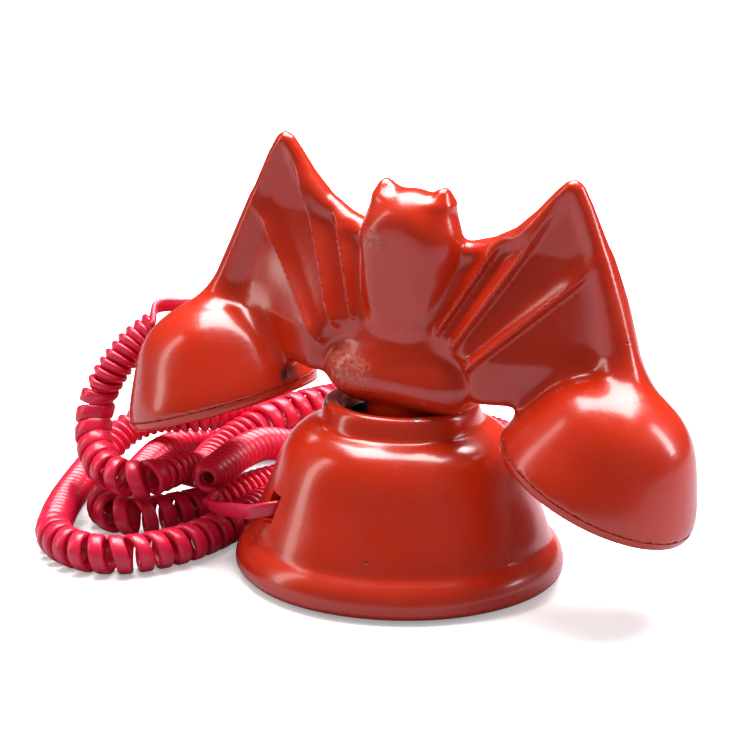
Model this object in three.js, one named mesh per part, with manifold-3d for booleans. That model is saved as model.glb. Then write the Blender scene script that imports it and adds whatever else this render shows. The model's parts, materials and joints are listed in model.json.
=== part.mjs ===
// Table telephone: a winged cast handset on a bell-shaped base, with a flat-wire curly cord.
// Millimetres, +Z up. The origin is the centre of the base's underside.
import * as THREE from "three";
import { ParametricGeometry } from "three/addons/geometries/ParametricGeometry.js";
import { mergeVertices } from "three/addons/utils/BufferGeometryUtils.js";
import Module from "manifold-3d";

const wasm = await Module();
wasm.setup();

// ---------------------------------------------------------------- driving dimensions
const GAP = 0.3; // clearance kept between touching pieces

const BASE = {
  footRadius: 50,
  seatZ: 0.6, // the casting's lower edge, just clear of the table
  creaseRadius: 45.6,
  creaseZ: 12.3,
  collarRadius: 24.7,
  collarZ: 47.3,
  rimRadius: 23,
  rimZ: 54,
  throatRadius: 18.7,
  neckZ: 41,
  plateRadius: 43.6,
  plateZ: 1.8,
  plateThickness: 1.5,
  padRadius: 42.5,
};
const PLATE_TOP = BASE.plateZ + BASE.plateThickness;

const BOSS = { radius: 3.4, pitch: 36, top: 28, angles: [35, 155, 275] };
const SCREW = { shank: 1.2, head: 2.4, headHeight: 1.0, length: 9 };

const SLOT = { angle: 231, width: 6.6, height: 8.4, z: 24 };
const JACK = { angle: 90, width: 13, height: 11, depth: 15, z: 12.5, socket: [9.6, 6.6, 12] };

const WELL = { radius: 18.3, floorZ: 36.5, floor: 2, wall: 1.8, topZ: 49, flangeRadius: 22.5 };
const PLUNGER = { topZ: 45.7, button: 5.2, cap: 2.6, stem: 2.1, stemEnd: 27.5, clipZ: 30 };
const SPRING = { radius: 3.4, wire: 0.45, turns: 3.5 };

const LOG = { radii: [23.8, 13, 11.6], centre: [0, -1.5, 62.7] };
const TORSO = { radii: [14.4, 12.6, 26], centre: [0, -3.2, 92], taper: 0.16, bluntness: 3 };
const EAR = { radius: 4.4, height: 9.5, x: 9.1, y: -2.8, z: 115.2 };
const SPIGOT = { radius: 12, bottomZ: 46.4, topZ: 60 };
// How the handset sits in the well: leaning towards the earpiece and slid a little that way.
const SEAT = { lean: THREE.MathUtils.degToRad(2.5), shift: 1.6, pivotZ: 50 };
const CHANNEL = { radius: 1.9, leadRadius: 0.9, steps: 20, sides: 8 };
// Half of the lead's way from the middle of the log, through one wing, into the cup.
const LEAD_ROUTE = [
  [8, -2, 63], [20, -4.4, 64.3], [28, -7.6, 65.5], [38, -5.1, 65], [50, 0.2, 63.5], [56, 1.5, 60.5], [59, 1.5, 57],
];

const CUP = {
  centre: [63, -1, 40],
  radii: [31.5, 28, 33],
  tilt: THREE.MathUtils.degToRad(22),
  wall: 3.5,
  capThickness: 2.4,
  pinch: 0.16, // how much narrower than an ellipsoid the dome is at half height
  screwReach: 24.3,
};

// Wing outline, half a side: [x, z] along the top edge, round the tip and down the outer edge.
const WING_TOP = [
  [0, 104], [16, 105.2], [24, 107.5], [32, 113], [39, 121.2], [44, 127], [47, 128.8],
  [50, 126.2], [54, 118.5], [58, 108.5], [62.5, 96.5], [66, 86.5], [70, 75], [74, 66],
];
const WING_BOTTOM = [[0, 60], [20, 59], [38, 60.5], [50, 57], [62, 55], [74, 58]];
const WING = {
  slope: 0.4,
  slopeTop: 105,
  slopeDrop: 31,
  frontY: -2,
  outerY: 1.2,
  tipThickness: 6,
  rootThickness: 9.4,
  sweep: [24, 66], // where the front starts and ends its sweep back
  recess: 7, // how far the wing steps back behind the log
};

// The curly cord's centre line, in a frame turned about Z by CORD.turn.
const CORD = {
  turn: THREE.MathUtils.degToRad(27.8),
  coilRadius: 6,
  tailRadius: 1.5,
  steps: 80,
  cutStep: 78, // the coil is parted here, where it starts to rise to the handset
  cutShare: 0.2,
};
const RIBBON = { width: 4.6, thickness: 2 };
const GROMMET_HEIGHT = 5;
const COIL_ROUTE = [
  [-61, 24, 19.3], [-57, 36, 19.3], [-52, 51, 19.3], [-45, 66, 18], [-36, 79, 13], [-24, 88, 8],
  [-10, 92.5, 6.3], [5, 93, 6.3], [17, 89, 6.3], [23, 78, 6.3], [17, 67, 6.3], [3, 61.5, 6.3],
  [-15, 58, 6.3], [-31, 51.5, 6.3], [-42.5, 41, 6.3], [-49.5, 28, 6.3], [-55, 15.5, 6.3],
  [-61, 6, 6.3], [-67, -1, 6.3], [-75, -7, 6.3], [-84, -11, 6.3], [-93, -10, 6.3], [-101, -4, 6.3],
  [-106.5, 7, 6.3], [-107.5, 21, 6.3], [-107, 37, 6.3], [-105.5, 53, 6.3], [-103, 69, 7],
  [-99, 82, 10], [-92, 89.5, 15], [-82, 91, 19], [-71, 90.5, 19.5], [-62, 95, 19.5],
  [-55, 103.5, 19.5], [-48, 113, 17.5], [-39, 121, 10.5], [-27, 127.5, 7], [-11, 131.5, 6.3],
  [7, 133, 6.3], [25, 128, 6.3], [38, 114, 6.3], [42, 98, 9], [34, 85, 15], [20, 78, 19.3],
  [5, 75, 14.5], [-8, 75, 8.5], [-22, 73, 6.3], [-35, 67, 6.3], [-46, 58, 6.3], [-54, 47.5, 6.3],
  [-61.5, 38.5, 6.3], [-69, 32.5, 6.3], [-77, 27.5, 6.3], [-85, 24.5, 6.3], [-91.5, 28, 6.3],
  [-94, 36.5, 6.3], [-92, 47, 6.3], [-88.5, 58, 6.3], [-86, 69, 6.3], [-84, 80, 6.3], [-81, 91, 6.3],
  [-75, 100, 6.3], [-65, 103.5, 6.3], [-50, 104, 6.3], [-34, 106.5, 6.3], [-19, 106.5, 6.3],
  [-5, 106, 6.3], [6, 108, 7], [12.5, 113, 10.5], [10, 118, 15.5], [0, 119.5, 19.5], [-12, 117, 20.5],
  [-22, 112, 20], [-30, 106, 20], [-38, 99.5, 19.5], [-46, 93, 18], [-54, 86, 15], [-61, 77, 12],
  [-64.5, 66, 10.5], [-66, 55, 12], [-67, 45, 15.5], [-70.5, 36.5, 19], [-75, 27.5, 19.3],
  [-81, 22, 19.3], [-88.5, 25, 19.3], [-94, 32, 20.5], [-97.5, 39.5, 24.5], [-98.5, 45, 31],
  [-97, 47, 38], [-94, 46.5, 45], [-90, 47.5, 51], [-85.5, 49.4, 56], [-79.5, 51, 60.6],
];
const TAIL_BASE = [
  [-31.6, -13.6, 24], [-38.3, -16.5, 24], [-44, -14.5, 22.5], [-51, -5, 19], [-57.5, 7, 16.2],
  [-61.5, 16, 15.2], [-62.5, 19.8, 15.2], [-61.2, 23.7, 15.2],
];
const TAIL_HANDSET = [
  [-55.5, 63.5, 60], [-61, 60.5, 64.5], [-70, 54.5, 67], [-76.2, 50.3, 66.1], [-79.8, 49.8, 64.2],
];

const COLOUR = {
  paint: 0xcf3420,
  cord: 0xc8203c,
  black: 0x18181a,
  steel: 0xb9bcc0,
  brass: 0xb08d4a,
  copper: 0xa5582d,
  board: 0x8a6a3a,
  rubber: 0x26262a,
};

// ---------------------------------------------------------------- helpers
function outward(geometry) {
  geometry.deleteAttribute("normal");
  geometry.deleteAttribute("uv");
  const merged = mergeVertices(geometry, 1e-4);
  const p = merged.getAttribute("position");
  const a = new THREE.Vector3();
  const b = new THREE.Vector3();
  const c = new THREE.Vector3();
  const source = merged.getIndex().array;
  const kept = [];
  let volume = 0;
  for (let i = 0; i < source.length; i += 3) {
    const [u, v, w] = [source[i], source[i + 1], source[i + 2]];
    if (u === v || v === w || w === u) continue;
    kept.push(u, v, w);
    a.fromBufferAttribute(p, u);
    b.fromBufferAttribute(p, v);
    c.fromBufferAttribute(p, w);
    volume += a.dot(b.cross(c));
  }
  if (volume < 0) kept.reverse();
  merged.setIndex(kept);
  return merged;
}

function solidOf(geometry) {
  const closed = outward(geometry.clone());
  return new wasm.Manifold(
    new wasm.Mesh({
      numProp: 3,
      vertProperties: new Float32Array(closed.getAttribute("position").array),
      triVerts: new Uint32Array(closed.getIndex().array),
    }),
  );
}

function geometryOf(solid) {
  const mesh = solid.getMesh();
  const geometry = new THREE.BufferGeometry();
  geometry.setAttribute("position", new THREE.BufferAttribute(mesh.vertProperties, 3));
  geometry.setIndex(new THREE.BufferAttribute(mesh.triVerts, 1));
  return geometry;
}

function join(first, ...others) {
  return others.reduce((sum, shape) => sum.add(solidOf(shape)), solidOf(first));
}

function cut(solid, ...tools) {
  return tools.reduce((rest, tool) => rest.subtract(solidOf(tool)), solid);
}

function lathe(points, segments = 48) {
  return new THREE.LatheGeometry(points.map(([r, z]) => new THREE.Vector2(r, z)), segments).rotateX(Math.PI / 2);
}

function cylinder(radius, bottom, top, segments = 20, topRadius = radius) {
  return new THREE.CylinderGeometry(topRadius, radius, top - bottom, segments)
    .rotateX(Math.PI / 2)
    .translate(0, 0, (top + bottom) / 2);
}

function box(width, depth, height, x, y, z) {
  return new THREE.BoxGeometry(width, depth, height).translate(x, y, z);
}

function ellipsoid(radii, segments = 28) {
  return new THREE.SphereGeometry(1, segments, segments / 2).rotateX(Math.PI / 2).scale(...radii);
}

function along(points, x) {
  const last = points.length - 1;
  if (x <= points[0][0]) return points[0][1];
  if (x >= points[last][0]) return points[last][1];
  const next = points.findIndex(([px]) => px > x);
  const [x0, z0] = points[next - 1];
  const [x1, z1] = points[next];
  return THREE.MathUtils.lerp(z0, z1, (x - x0) / (x1 - x0));
}

function tube(route, shape, steps) {
  const curve = new THREE.CatmullRomCurve3(route.map((p) => new THREE.Vector3(...p)));
  return new THREE.ExtrudeGeometry(shape, { extrudePath: curve, steps, bevelEnabled: false });
}

function ring(radiusX, radiusY, sides, x = 0, y = 0) {
  const corners = [];
  for (let i = 0; i < sides; i += 1) {
    const turn = (2 * Math.PI * (i + 0.5)) / sides;
    corners.push(new THREE.Vector2(x + radiusX * Math.cos(turn), y + radiusY * Math.sin(turn)));
  }
  return corners;
}

function disc(radius, sides) {
  return new THREE.Shape(ring(radius, radius, sides));
}

const model = new THREE.Group();

const handset = new THREE.Group();
handset.rotation.y = SEAT.lean;
handset.position.set(0, 0, -SEAT.pivotZ).applyEuler(handset.rotation);
handset.position.add(new THREE.Vector3(SEAT.shift, 0, SEAT.pivotZ));
model.add(handset);

function place(parent, name, shape, color, roughness = 0.4, metalness = 0) {
  const geometry = shape instanceof THREE.BufferGeometry ? shape : geometryOf(shape);
  const mesh = new THREE.Mesh(
    outward(geometry),
    new THREE.MeshStandardMaterial({ color, roughness, metalness }),
  );
  mesh.name = name;
  parent.add(mesh);
  return mesh;
}

function turned(angle) {
  const group = new THREE.Group();
  group.rotation.z = THREE.MathUtils.degToRad(angle);
  model.add(group);
  return group;
}

// ---------------------------------------------------------------- bell-shaped base
function bossAt(angle, radius, bottom, top, segments = 12) {
  const turn = THREE.MathUtils.degToRad(angle);
  return cylinder(radius, bottom, top, segments).translate(
    BOSS.pitch * Math.cos(turn),
    BOSS.pitch * Math.sin(turn),
    0,
  );
}

function baseShell() {
  const outer = [
    [46.4, BASE.seatZ], [48.8, 1.6], [BASE.footRadius, 4.3], [49.3, 8.4],
    [BASE.creaseRadius, BASE.creaseZ], [43.4, 19], [40.4, 26], [35.4, 38.5],
    [33, 42.2], [29.4, 45.2], [BASE.collarRadius, BASE.collarZ], [23.7, 50],
    [BASE.rimRadius, 53.2], [22, BASE.rimZ], [20, BASE.rimZ], [BASE.throatRadius, 53],
  ];
  const inner = [
    [BASE.throatRadius, BASE.neckZ], [24, BASE.neckZ], [30, 39.5], [34.6, 31],
    [39.4, 20], [41.8, 13.5], [BASE.plateRadius + GAP, 9],
    [BASE.plateRadius + GAP, BASE.seatZ], [46.4, BASE.seatZ],
  ];
  const bosses = BOSS.angles.map((angle) => bossAt(angle, BOSS.radius, PLATE_TOP + GAP, BOSS.top));
  const holes = BOSS.angles.map((angle) => bossAt(angle, SCREW.shank + GAP, 0, PLATE_TOP + SCREW.length + 1));
  const slot = box(14, SLOT.width, SLOT.height, 40, 0, SLOT.z).rotateZ(THREE.MathUtils.degToRad(SLOT.angle));
  const notch = box(20, JACK.width + 2 * GAP, JACK.height + 2 * GAP, 44, 0, JACK.z);
  notch.rotateZ(THREE.MathUtils.degToRad(JACK.angle));
  return cut(join(lathe([...outer, ...inner], 40), ...bosses), ...holes, slot, notch);
}

function basePlate() {
  const holes = BOSS.angles.map((angle) => bossAt(angle, SCREW.shank + GAP, 0, 6));
  const sinks = BOSS.angles.map((angle) => bossAt(angle, SCREW.head + GAP, 0, BASE.plateZ + 0.7));
  return cut(solidOf(cylinder(BASE.plateRadius, BASE.plateZ, PLATE_TOP, 48)), ...holes, ...sinks);
}

function plateScrew() {
  const headTop = BASE.plateZ + 0.7 - GAP;
  return join(
    cylinder(SCREW.head, headTop - SCREW.headHeight + 0.45, headTop, 16),
    cylinder(SCREW.shank, headTop - 0.1, PLATE_TOP + SCREW.length, 12),
  );
}

function addBase() {
  place(model, "base_shell", baseShell(), COLOUR.paint, 0.25);
  place(model, "base_plate", basePlate(), COLOUR.steel, 0.5, 0.8);
  place(model, "base_pad", cylinder(BASE.padRadius, 0, BASE.plateZ - 0.9, 40), COLOUR.rubber, 0.9);
  BOSS.angles.forEach((angle, index) => {
    const mesh = place(turned(angle), `plate_screw_${index + 1}`, plateScrew(), COLOUR.steel, 0.3, 1);
    mesh.position.x = BOSS.pitch;
  });
}

// ---------------------------------------------------------------- hook switch in the collar
function wellCup() {
  const bottom = WELL.floorZ - WELL.floor;
  const cup = lathe([
    [0, bottom], [WELL.flangeRadius, bottom], [WELL.flangeRadius, BASE.neckZ - GAP],
    [WELL.radius, BASE.neckZ - GAP], [WELL.radius, WELL.topZ], [WELL.radius - WELL.wall, WELL.topZ],
    [WELL.radius - WELL.wall, WELL.floorZ], [0, WELL.floorZ],
  ]);
  return cut(solidOf(cup), cylinder(PLUNGER.stem + GAP, 20, 60, 16));
}

function hookPlunger() {
  const under = PLUNGER.topZ - PLUNGER.cap;
  return solidOf(
    lathe([
      [0, PLUNGER.topZ], [3.6, PLUNGER.topZ - 0.2], [PLUNGER.button, PLUNGER.topZ - 1.1],
      [PLUNGER.button, under], [PLUNGER.stem, under], [PLUNGER.stem, PLUNGER.clipZ + 1.4],
      [3.8, PLUNGER.clipZ + 1.4], [3.8, PLUNGER.clipZ], [PLUNGER.stem, PLUNGER.clipZ],
      [PLUNGER.stem, PLUNGER.stemEnd], [0, PLUNGER.stemEnd],
    ], 24),
  );
}

function hookSpring() {
  const bottom = WELL.floorZ + GAP + SPRING.wire;
  const top = PLUNGER.topZ - PLUNGER.cap - GAP - SPRING.wire;
  const count = Math.round(SPRING.turns * 10);
  const route = [];
  for (let i = 0; i <= count; i += 1) {
    const turn = (2 * Math.PI * i) / 10;
    const z = THREE.MathUtils.lerp(bottom, top, i / count);
    route.push([SPRING.radius * Math.cos(turn), SPRING.radius * Math.sin(turn), z]);
  }
  return tube(route, disc(SPRING.wire, 6), 48);
}

function switchBracket() {
  const top = WELL.floorZ - WELL.floor - GAP;
  return join(box(13, 9, 1.2, 12.5, 0, top - 0.6), box(1.2, 9, 16, 18.4, 0, top - 8));
}

function switchLeaf(z, length) {
  return box(length, 4, 0.35, 9.8 - length / 2 + 0.2, 0, z);
}

function addHookSwitch() {
  place(model, "well_cup", wellCup(), COLOUR.black, 0.45);
  place(model, "hook_plunger", hookPlunger(), COLOUR.black, 0.4);
  place(model, "hook_spring", hookSpring(), COLOUR.steel, 0.3, 1);
  place(model, "switch_bracket", switchBracket(), COLOUR.steel, 0.4, 0.9);
  place(model, "switch_block", box(7.2, 8, 7, 13.8, 0, 21.8), COLOUR.black, 0.6);
  place(model, "switch_leaf_upper", switchLeaf(22.9, 12), COLOUR.brass, 0.3, 1);
  place(model, "switch_leaf_lower", switchLeaf(20.6, 11), COLOUR.brass, 0.3, 1);
}

// ---------------------------------------------------------------- ringer, board and jack
const GONG = { x: -15, y: 8, radius: 15, height: 9, bottom: 8, wall: 1.2 };
const RINGER = { x: 15, y: 12, coil: 6.5, z: 12.5, length: 15 };
const CLAPPER = { x: 8.5, y: 23.5, z: 10.5, hammer: [-10.6, -3.5], hammerRadius: 1.9 };

function gong() {
  const { radius, height, bottom, wall } = GONG;
  const top = bottom + height;
  return cut(
    solidOf(
      lathe([
        [radius, bottom], [radius * 0.97, bottom + 3.4], [radius * 0.8, top - 1.6], [radius * 0.4, top],
        [0, top], [0, top - wall], [radius * 0.4, top - wall], [radius * 0.76, top - 1.6 - wall],
        [radius * 0.97 - wall, bottom + 3], [radius - wall, bottom], [radius, bottom],
      ], 32),
    ),
    cylinder(1.9, 0, 30, 12),
  );
}

function gongPost() {
  return solidOf(
    lathe([
      [0, PLATE_TOP + GAP], [4, PLATE_TOP + GAP], [4, GONG.bottom + GONG.height - GONG.wall - GAP],
      [0, GONG.bottom + GONG.height - GONG.wall - GAP],
    ], 16),
  );
}

function gongScrew() {
  const seat = GONG.bottom + GONG.height + GAP;
  return join(cylinder(3.6, seat, seat + 1.8, 16), cylinder(1.3, seat - 1.2, seat + 0.2, 12));
}

function ringerCoil() {
  const half = RINGER.length / 2;
  const bobbin = lathe([
    [2.4, -half], [7.4, -half], [7.4, -half + 1.2], [RINGER.coil, -half + 1.2], [RINGER.coil, half - 1.2],
    [7.4, half - 1.2], [7.4, half], [2.4, half], [2.4, -half],
  ], 24);
  return bobbin.rotateX(Math.PI / 2).translate(RINGER.x, RINGER.y, RINGER.z);
}

function ringerYoke() {
  const half = RINGER.length / 2;
  const core = cylinder(2.1, -half - 3.2, half + 1.4, 16).rotateX(-Math.PI / 2);
  core.translate(RINGER.x, RINGER.y, RINGER.z);
  const rear = RINGER.y - half - 2.2;
  const leg = box(11, 2.4, RINGER.z + 4 - PLATE_TOP - GAP, RINGER.x, rear, (RINGER.z + 4 + PLATE_TOP + GAP) / 2);
  return join(leg, core);
}

function clapperArm() {
  const [x, y] = CLAPPER.hammer;
  const hub = cylinder(2.3, CLAPPER.z - 4, CLAPPER.z + 4, 32);
  const armature = box(11, 1.6, 7, 7, 0, CLAPPER.z);
  const rod = cylinder(0.7, 1.7, Math.hypot(x, y), 10).rotateY(Math.PI / 2).rotateZ(Math.atan2(y, x));
  const hammer = new THREE.SphereGeometry(CLAPPER.hammerRadius, 12, 8).translate(x, y, 0);
  const swinging = join(hub, armature, rod.translate(0, 0, CLAPPER.z), hammer.translate(0, 0, CLAPPER.z));
  return cut(swinging, cylinder(1.1 + GAP, 0, 40, 32));
}

function addRinger() {
  const stand = new THREE.Group();
  stand.position.set(GONG.x, GONG.y, 0);
  model.add(stand);
  place(stand, "ringer_gong", gong(), COLOUR.brass, 0.25, 1);
  place(stand, "gong_post", gongPost(), COLOUR.steel, 0.4, 0.9);
  place(stand, "gong_screw", gongScrew(), COLOUR.steel, 0.3, 1);
  place(model, "ringer_coil", ringerCoil(), COLOUR.copper, 0.45, 0.4);
  place(model, "ringer_yoke", ringerYoke(), COLOUR.steel, 0.45, 0.9);
  const pivot = new THREE.Group();
  pivot.position.set(CLAPPER.x, CLAPPER.y, 0);
  model.add(pivot);
  place(pivot, "clapper_pin", cylinder(1.1, PLATE_TOP + GAP, CLAPPER.z + 6, 32), COLOUR.steel, 0.3, 1);
  place(pivot, "clapper_arm", clapperArm(), COLOUR.steel, 0.4, 0.9);
}

function addElectrics() {
  const board = { x: 8, y: -22, z: 9, width: 40, depth: 18 };
  const pillar = (x) => cylinder(2, PLATE_TOP + GAP, board.z - 0.8 - GAP, 12).translate(x, board.y, 0);
  place(model, "board_pillar_left", pillar(-8), COLOUR.steel, 0.4, 0.8);
  place(model, "board_pillar_right", pillar(24), COLOUR.steel, 0.4, 0.8);
  place(model, "circuit_board", box(board.width, board.depth, 1.6, board.x, board.y, board.z), COLOUR.board, 0.6);
  const onBoard = board.z + 0.8 + GAP;
  place(model, "line_capacitor", cylinder(5, onBoard, onBoard + 11, 20).translate(-5, -23, 0), COLOUR.black, 0.4);
  place(model, "terminal_block", box(18, 7, 6, 14, -18, onBoard + 3), COLOUR.black, 0.5);
  const [width, height, depth] = JACK.socket;
  const body = box(JACK.depth, JACK.width, JACK.height, 37, 0, JACK.z);
  const socket = box(depth, width, height, 37 + JACK.depth / 2 - depth / 2 + 1, 0, JACK.z);
  place(turned(JACK.angle), "line_jack", cut(solidOf(body), socket), COLOUR.black, 0.5);
}

// ---------------------------------------------------------------- winged handset
function wingFront(x, z) {
  const { smoothstep, clamp, lerp } = THREE.MathUtils;
  const sloped = WING.frontY - WING.slope * clamp(WING.slopeTop - z, 0, WING.slopeDrop);
  const behindLog = WING.recess * (1 - smoothstep(x, 17, 27)) * (1 - smoothstep(z, 66, 80));
  const [innerX, outerX] = WING.sweep;
  const share = (clamp((x - innerX) / (outerX - innerX), 0, 1) + smoothstep(x, innerX, outerX)) / 2;
  return lerp(sloped, WING.outerY, share) + behindLog;
}

function wing() {
  const span = WING_TOP[WING_TOP.length - 1][0];
  const shape = (u, v, target) => {
    const x = span * v;
    const turn = 2 * Math.PI * u;
    const flat = (Math.abs(Math.cos(turn)) ** 4 + Math.abs(Math.sin(turn)) ** 4) ** -0.25;
    const closing = v > 0.999 || v < 0.001 ? 0 : 1;
    const top = along(WING_TOP, x);
    const bottom = along(WING_BOTTOM, x);
    const z = (top + bottom) / 2 + (closing * Math.cos(turn) * flat * (top - bottom)) / 2;
    const slim = Math.max(THREE.MathUtils.smoothstep(z, 100, 130), THREE.MathUtils.smoothstep(x, 58, 74));
    const thickness = THREE.MathUtils.lerp(WING.rootThickness, WING.tipThickness, slim);
    const y = wingFront(x, z) + thickness / 2 + (closing * Math.sin(turn) * flat * thickness) / 2;
    target.set(x, y, z);
  };
  return new ParametricGeometry(shape, 16, 24);
}

function torso() {
  const blunt = (z) => (1 - Math.abs(z) ** TORSO.bluntness) ** (1 / TORSO.bluntness);
  const body = reshaped(ellipsoid([1, 1, 1], 22), (z, radius) => {
    const square = radius > 0 ? Math.min(blunt(z) / radius, 2) : 1;
    return square * (1 + TORSO.taper * z);
  });
  return body.scale(...TORSO.radii).translate(...TORSO.centre);
}

// Scales each level of a unit ball about Z by what factorAt(height, radius) gives.
function reshaped(ball, factorAt) {
  const p = ball.getAttribute("position");
  for (let i = 0; i < p.count; i += 1) {
    const radius = Math.hypot(p.getX(i), p.getY(i));
    const factor = factorAt(THREE.MathUtils.clamp(p.getZ(i), -1, 1), radius);
    p.setXY(i, p.getX(i) * factor, p.getY(i) * factor);
  }
  return ball;
}

function atCup(geometry, side) {
  geometry.rotateY(side * CUP.tilt);
  return geometry.translate(side * CUP.centre[0], CUP.centre[1], CUP.centre[2]);
}

function pinchAt(height) {
  return 1 - CUP.pinch * Math.sin(Math.PI * height) ** 2;
}

function cupDome(side, shrink, floor, segments) {
  const pinched = reshaped(ellipsoid([1, 1, 1], segments), pinchAt);
  const dome = solidOf(pinched.scale(...CUP.radii.map((r) => r - shrink)));
  const below = solidOf(box(90, 90, 60, 0, 0, floor - 30));
  return solidOf(atCup(geometryOf(dome.subtract(below)), side));
}

function cupScrewPost(side, end, radius, bottom, top) {
  return atCup(cylinder(radius, bottom, top, 10).translate(end * CUP.screwReach, 0, 0), side);
}

function cordSeat() {
  const [a, b, c] = CUP.radii;
  const towards = new THREE.Vector3(-0.1, 0.85, 0.5).normalize();
  const narrow = pinchAt(towards.z);
  const point = new THREE.Vector3(towards.x * a * narrow, towards.y * b * narrow, towards.z * c);
  const normal = new THREE.Vector3(towards.x / a, towards.y / b, towards.z / c).normalize();
  const tilt = new THREE.Matrix4().makeRotationY(-CUP.tilt);
  point.applyMatrix4(tilt).add(new THREE.Vector3(-CUP.centre[0], CUP.centre[1], CUP.centre[2]));
  normal.transformDirection(tilt);
  return { point, normal };
}

function atCordSeat(geometry) {
  const { point, normal } = cordSeat();
  const facing = new THREE.Quaternion().setFromUnitVectors(new THREE.Vector3(0, 0, 1), normal);
  return geometry.applyQuaternion(facing).translate(...point.toArray());
}

function leadTube(radius) {
  const mirrored = LEAD_ROUTE.map(([x, y, z]) => [-x, y, z]).reverse();
  return tube([...mirrored, ...LEAD_ROUTE], disc(radius, CHANNEL.sides), CHANNEL.steps);
}

function handsetBody() {
  const mirrored = wing().scale(-1, 1, 1);
  const spigot = cylinder(SPIGOT.radius, SPIGOT.bottomZ, SPIGOT.topZ, 24);
  const log = ellipsoid(LOG.radii, 24).translate(...LOG.centre);
  let body = join(wing(), mirrored, torso(), log, spigot);
  for (const side of [-1, 1]) {
    const ear = cylinder(EAR.radius, -EAR.height / 2, EAR.height / 2, 12, 0.7);
    ear.rotateY(side * 0.12).translate(side * EAR.x, EAR.y, EAR.z);
    body = body.add(solidOf(ear));
    body = body.add(cupDome(side, 0, CUP.capThickness + GAP, 26));
  }
  for (const side of [-1, 1]) {
    let hollow = cupDome(side, CUP.wall, -2, 16);
    for (const end of [-1, 1]) {
      hollow = hollow.subtract(solidOf(cupScrewPost(side, end, 3, -4, 40)));
    }
    body = body.subtract(hollow);
    for (const end of [-1, 1]) {
      body = cut(body, cupScrewPost(side, end, 1 + GAP, -4, 13));
    }
  }
  const seat = cylinder(2.6 + GAP, -9, 9, 12);
  return cut(body, leadTube(CHANNEL.radius), atCordSeat(seat));
}

function cupCap(side, holeRings) {
  const outline = new THREE.Shape(ring(CUP.radii[0], CUP.radii[1], 36));
  for (const [count, reach] of holeRings) {
    for (let i = 0; i < count; i += 1) {
      const turn = (2 * Math.PI * i) / count;
      outline.holes.push(new THREE.Path(ring(1.2, 1.2, 8, reach * Math.cos(turn), reach * Math.sin(turn))));
    }
  }
  const options = { depth: CUP.capThickness, bevelEnabled: false };
  const plain = atCup(new THREE.ExtrudeGeometry(outline, options), side);
  const holes = [-1, 1].flatMap((end) => [
    cupScrewPost(side, end, 1 + GAP, -1, 4),
    cupScrewPost(side, end, 2.2 + GAP, -1, 1.5),
  ]);
  return cut(solidOf(plain), ...holes);
}

function capScrew(side, end) {
  return join(cupScrewPost(side, end, 2.2, 0.2, 1.2), cupScrewPost(side, end, 1, 1.1, 12));
}

function capsule(side, radius, height) {
  const bottom = CUP.capThickness + GAP;
  const shape = lathe([
    [0, bottom], [radius - 2, bottom], [radius, bottom + 1.6], [radius, bottom + 3.4],
    [radius - 3, bottom + height - 2], [radius * 0.5, bottom + height], [0, bottom + height],
  ], 24);
  return atCup(shape, side);
}

function cordGrommet() {
  const ribbon = new THREE.BoxGeometry(RIBBON.width + 2 * GAP, RIBBON.thickness + 2 * GAP, 30);
  const body = lathe([
    [0, -4], [2.6, -4], [2.6, 0.35], [4.2, 0.35], [4, 1.6], [3.4, 3.6], [3.1, GROMMET_HEIGHT],
    [0, GROMMET_HEIGHT],
  ], 16);
  return solidOf(atCordSeat(body)).subtract(solidOf(atCordSeat(ribbon)));
}

function addHandset() {
  place(handset, "handset_body", handsetBody(), COLOUR.paint, 0.25);
  const ends = [
    { side: -1, name: "transmitter", rings: [[6, 7], [1, 0]], radius: 17, height: 8 },
    { side: 1, name: "receiver", rings: [[8, 9], [4, 4]], radius: 19.5, height: 9 },
  ];
  for (const { side, name, rings, radius, height } of ends) {
    place(handset, `${name}_cap`, cupCap(side, rings), COLOUR.paint, 0.3);
    place(handset, `${name}_capsule`, capsule(side, radius, height), COLOUR.steel, 0.35, 0.9);
    place(handset, `${name}_screw_inner`, capScrew(side, -side), COLOUR.steel, 0.3, 1);
    place(handset, `${name}_screw_outer`, capScrew(side, side), COLOUR.steel, 0.3, 1);
  }
  place(handset, "capsule_lead", leadTube(CHANNEL.leadRadius), COLOUR.black, 0.6);
  place(handset, "cord_grommet", cordGrommet(), COLOUR.black, 0.6);
}

// ---------------------------------------------------------------- curly cord
function laid(points) {
  return points.map((p) => new THREE.Vector3(...p).applyAxisAngle(new THREE.Vector3(0, 0, 1), CORD.turn).toArray());
}

function cordClamp() {
  const body = box(5, 9, 9, 31.5, 0, SLOT.z);
  const mouth = box(12, RIBBON.thickness + 2 * GAP, RIBBON.width + 2 * GAP, 31.5, 0, SLOT.z);
  return cut(solidOf(body), mouth);
}

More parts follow.
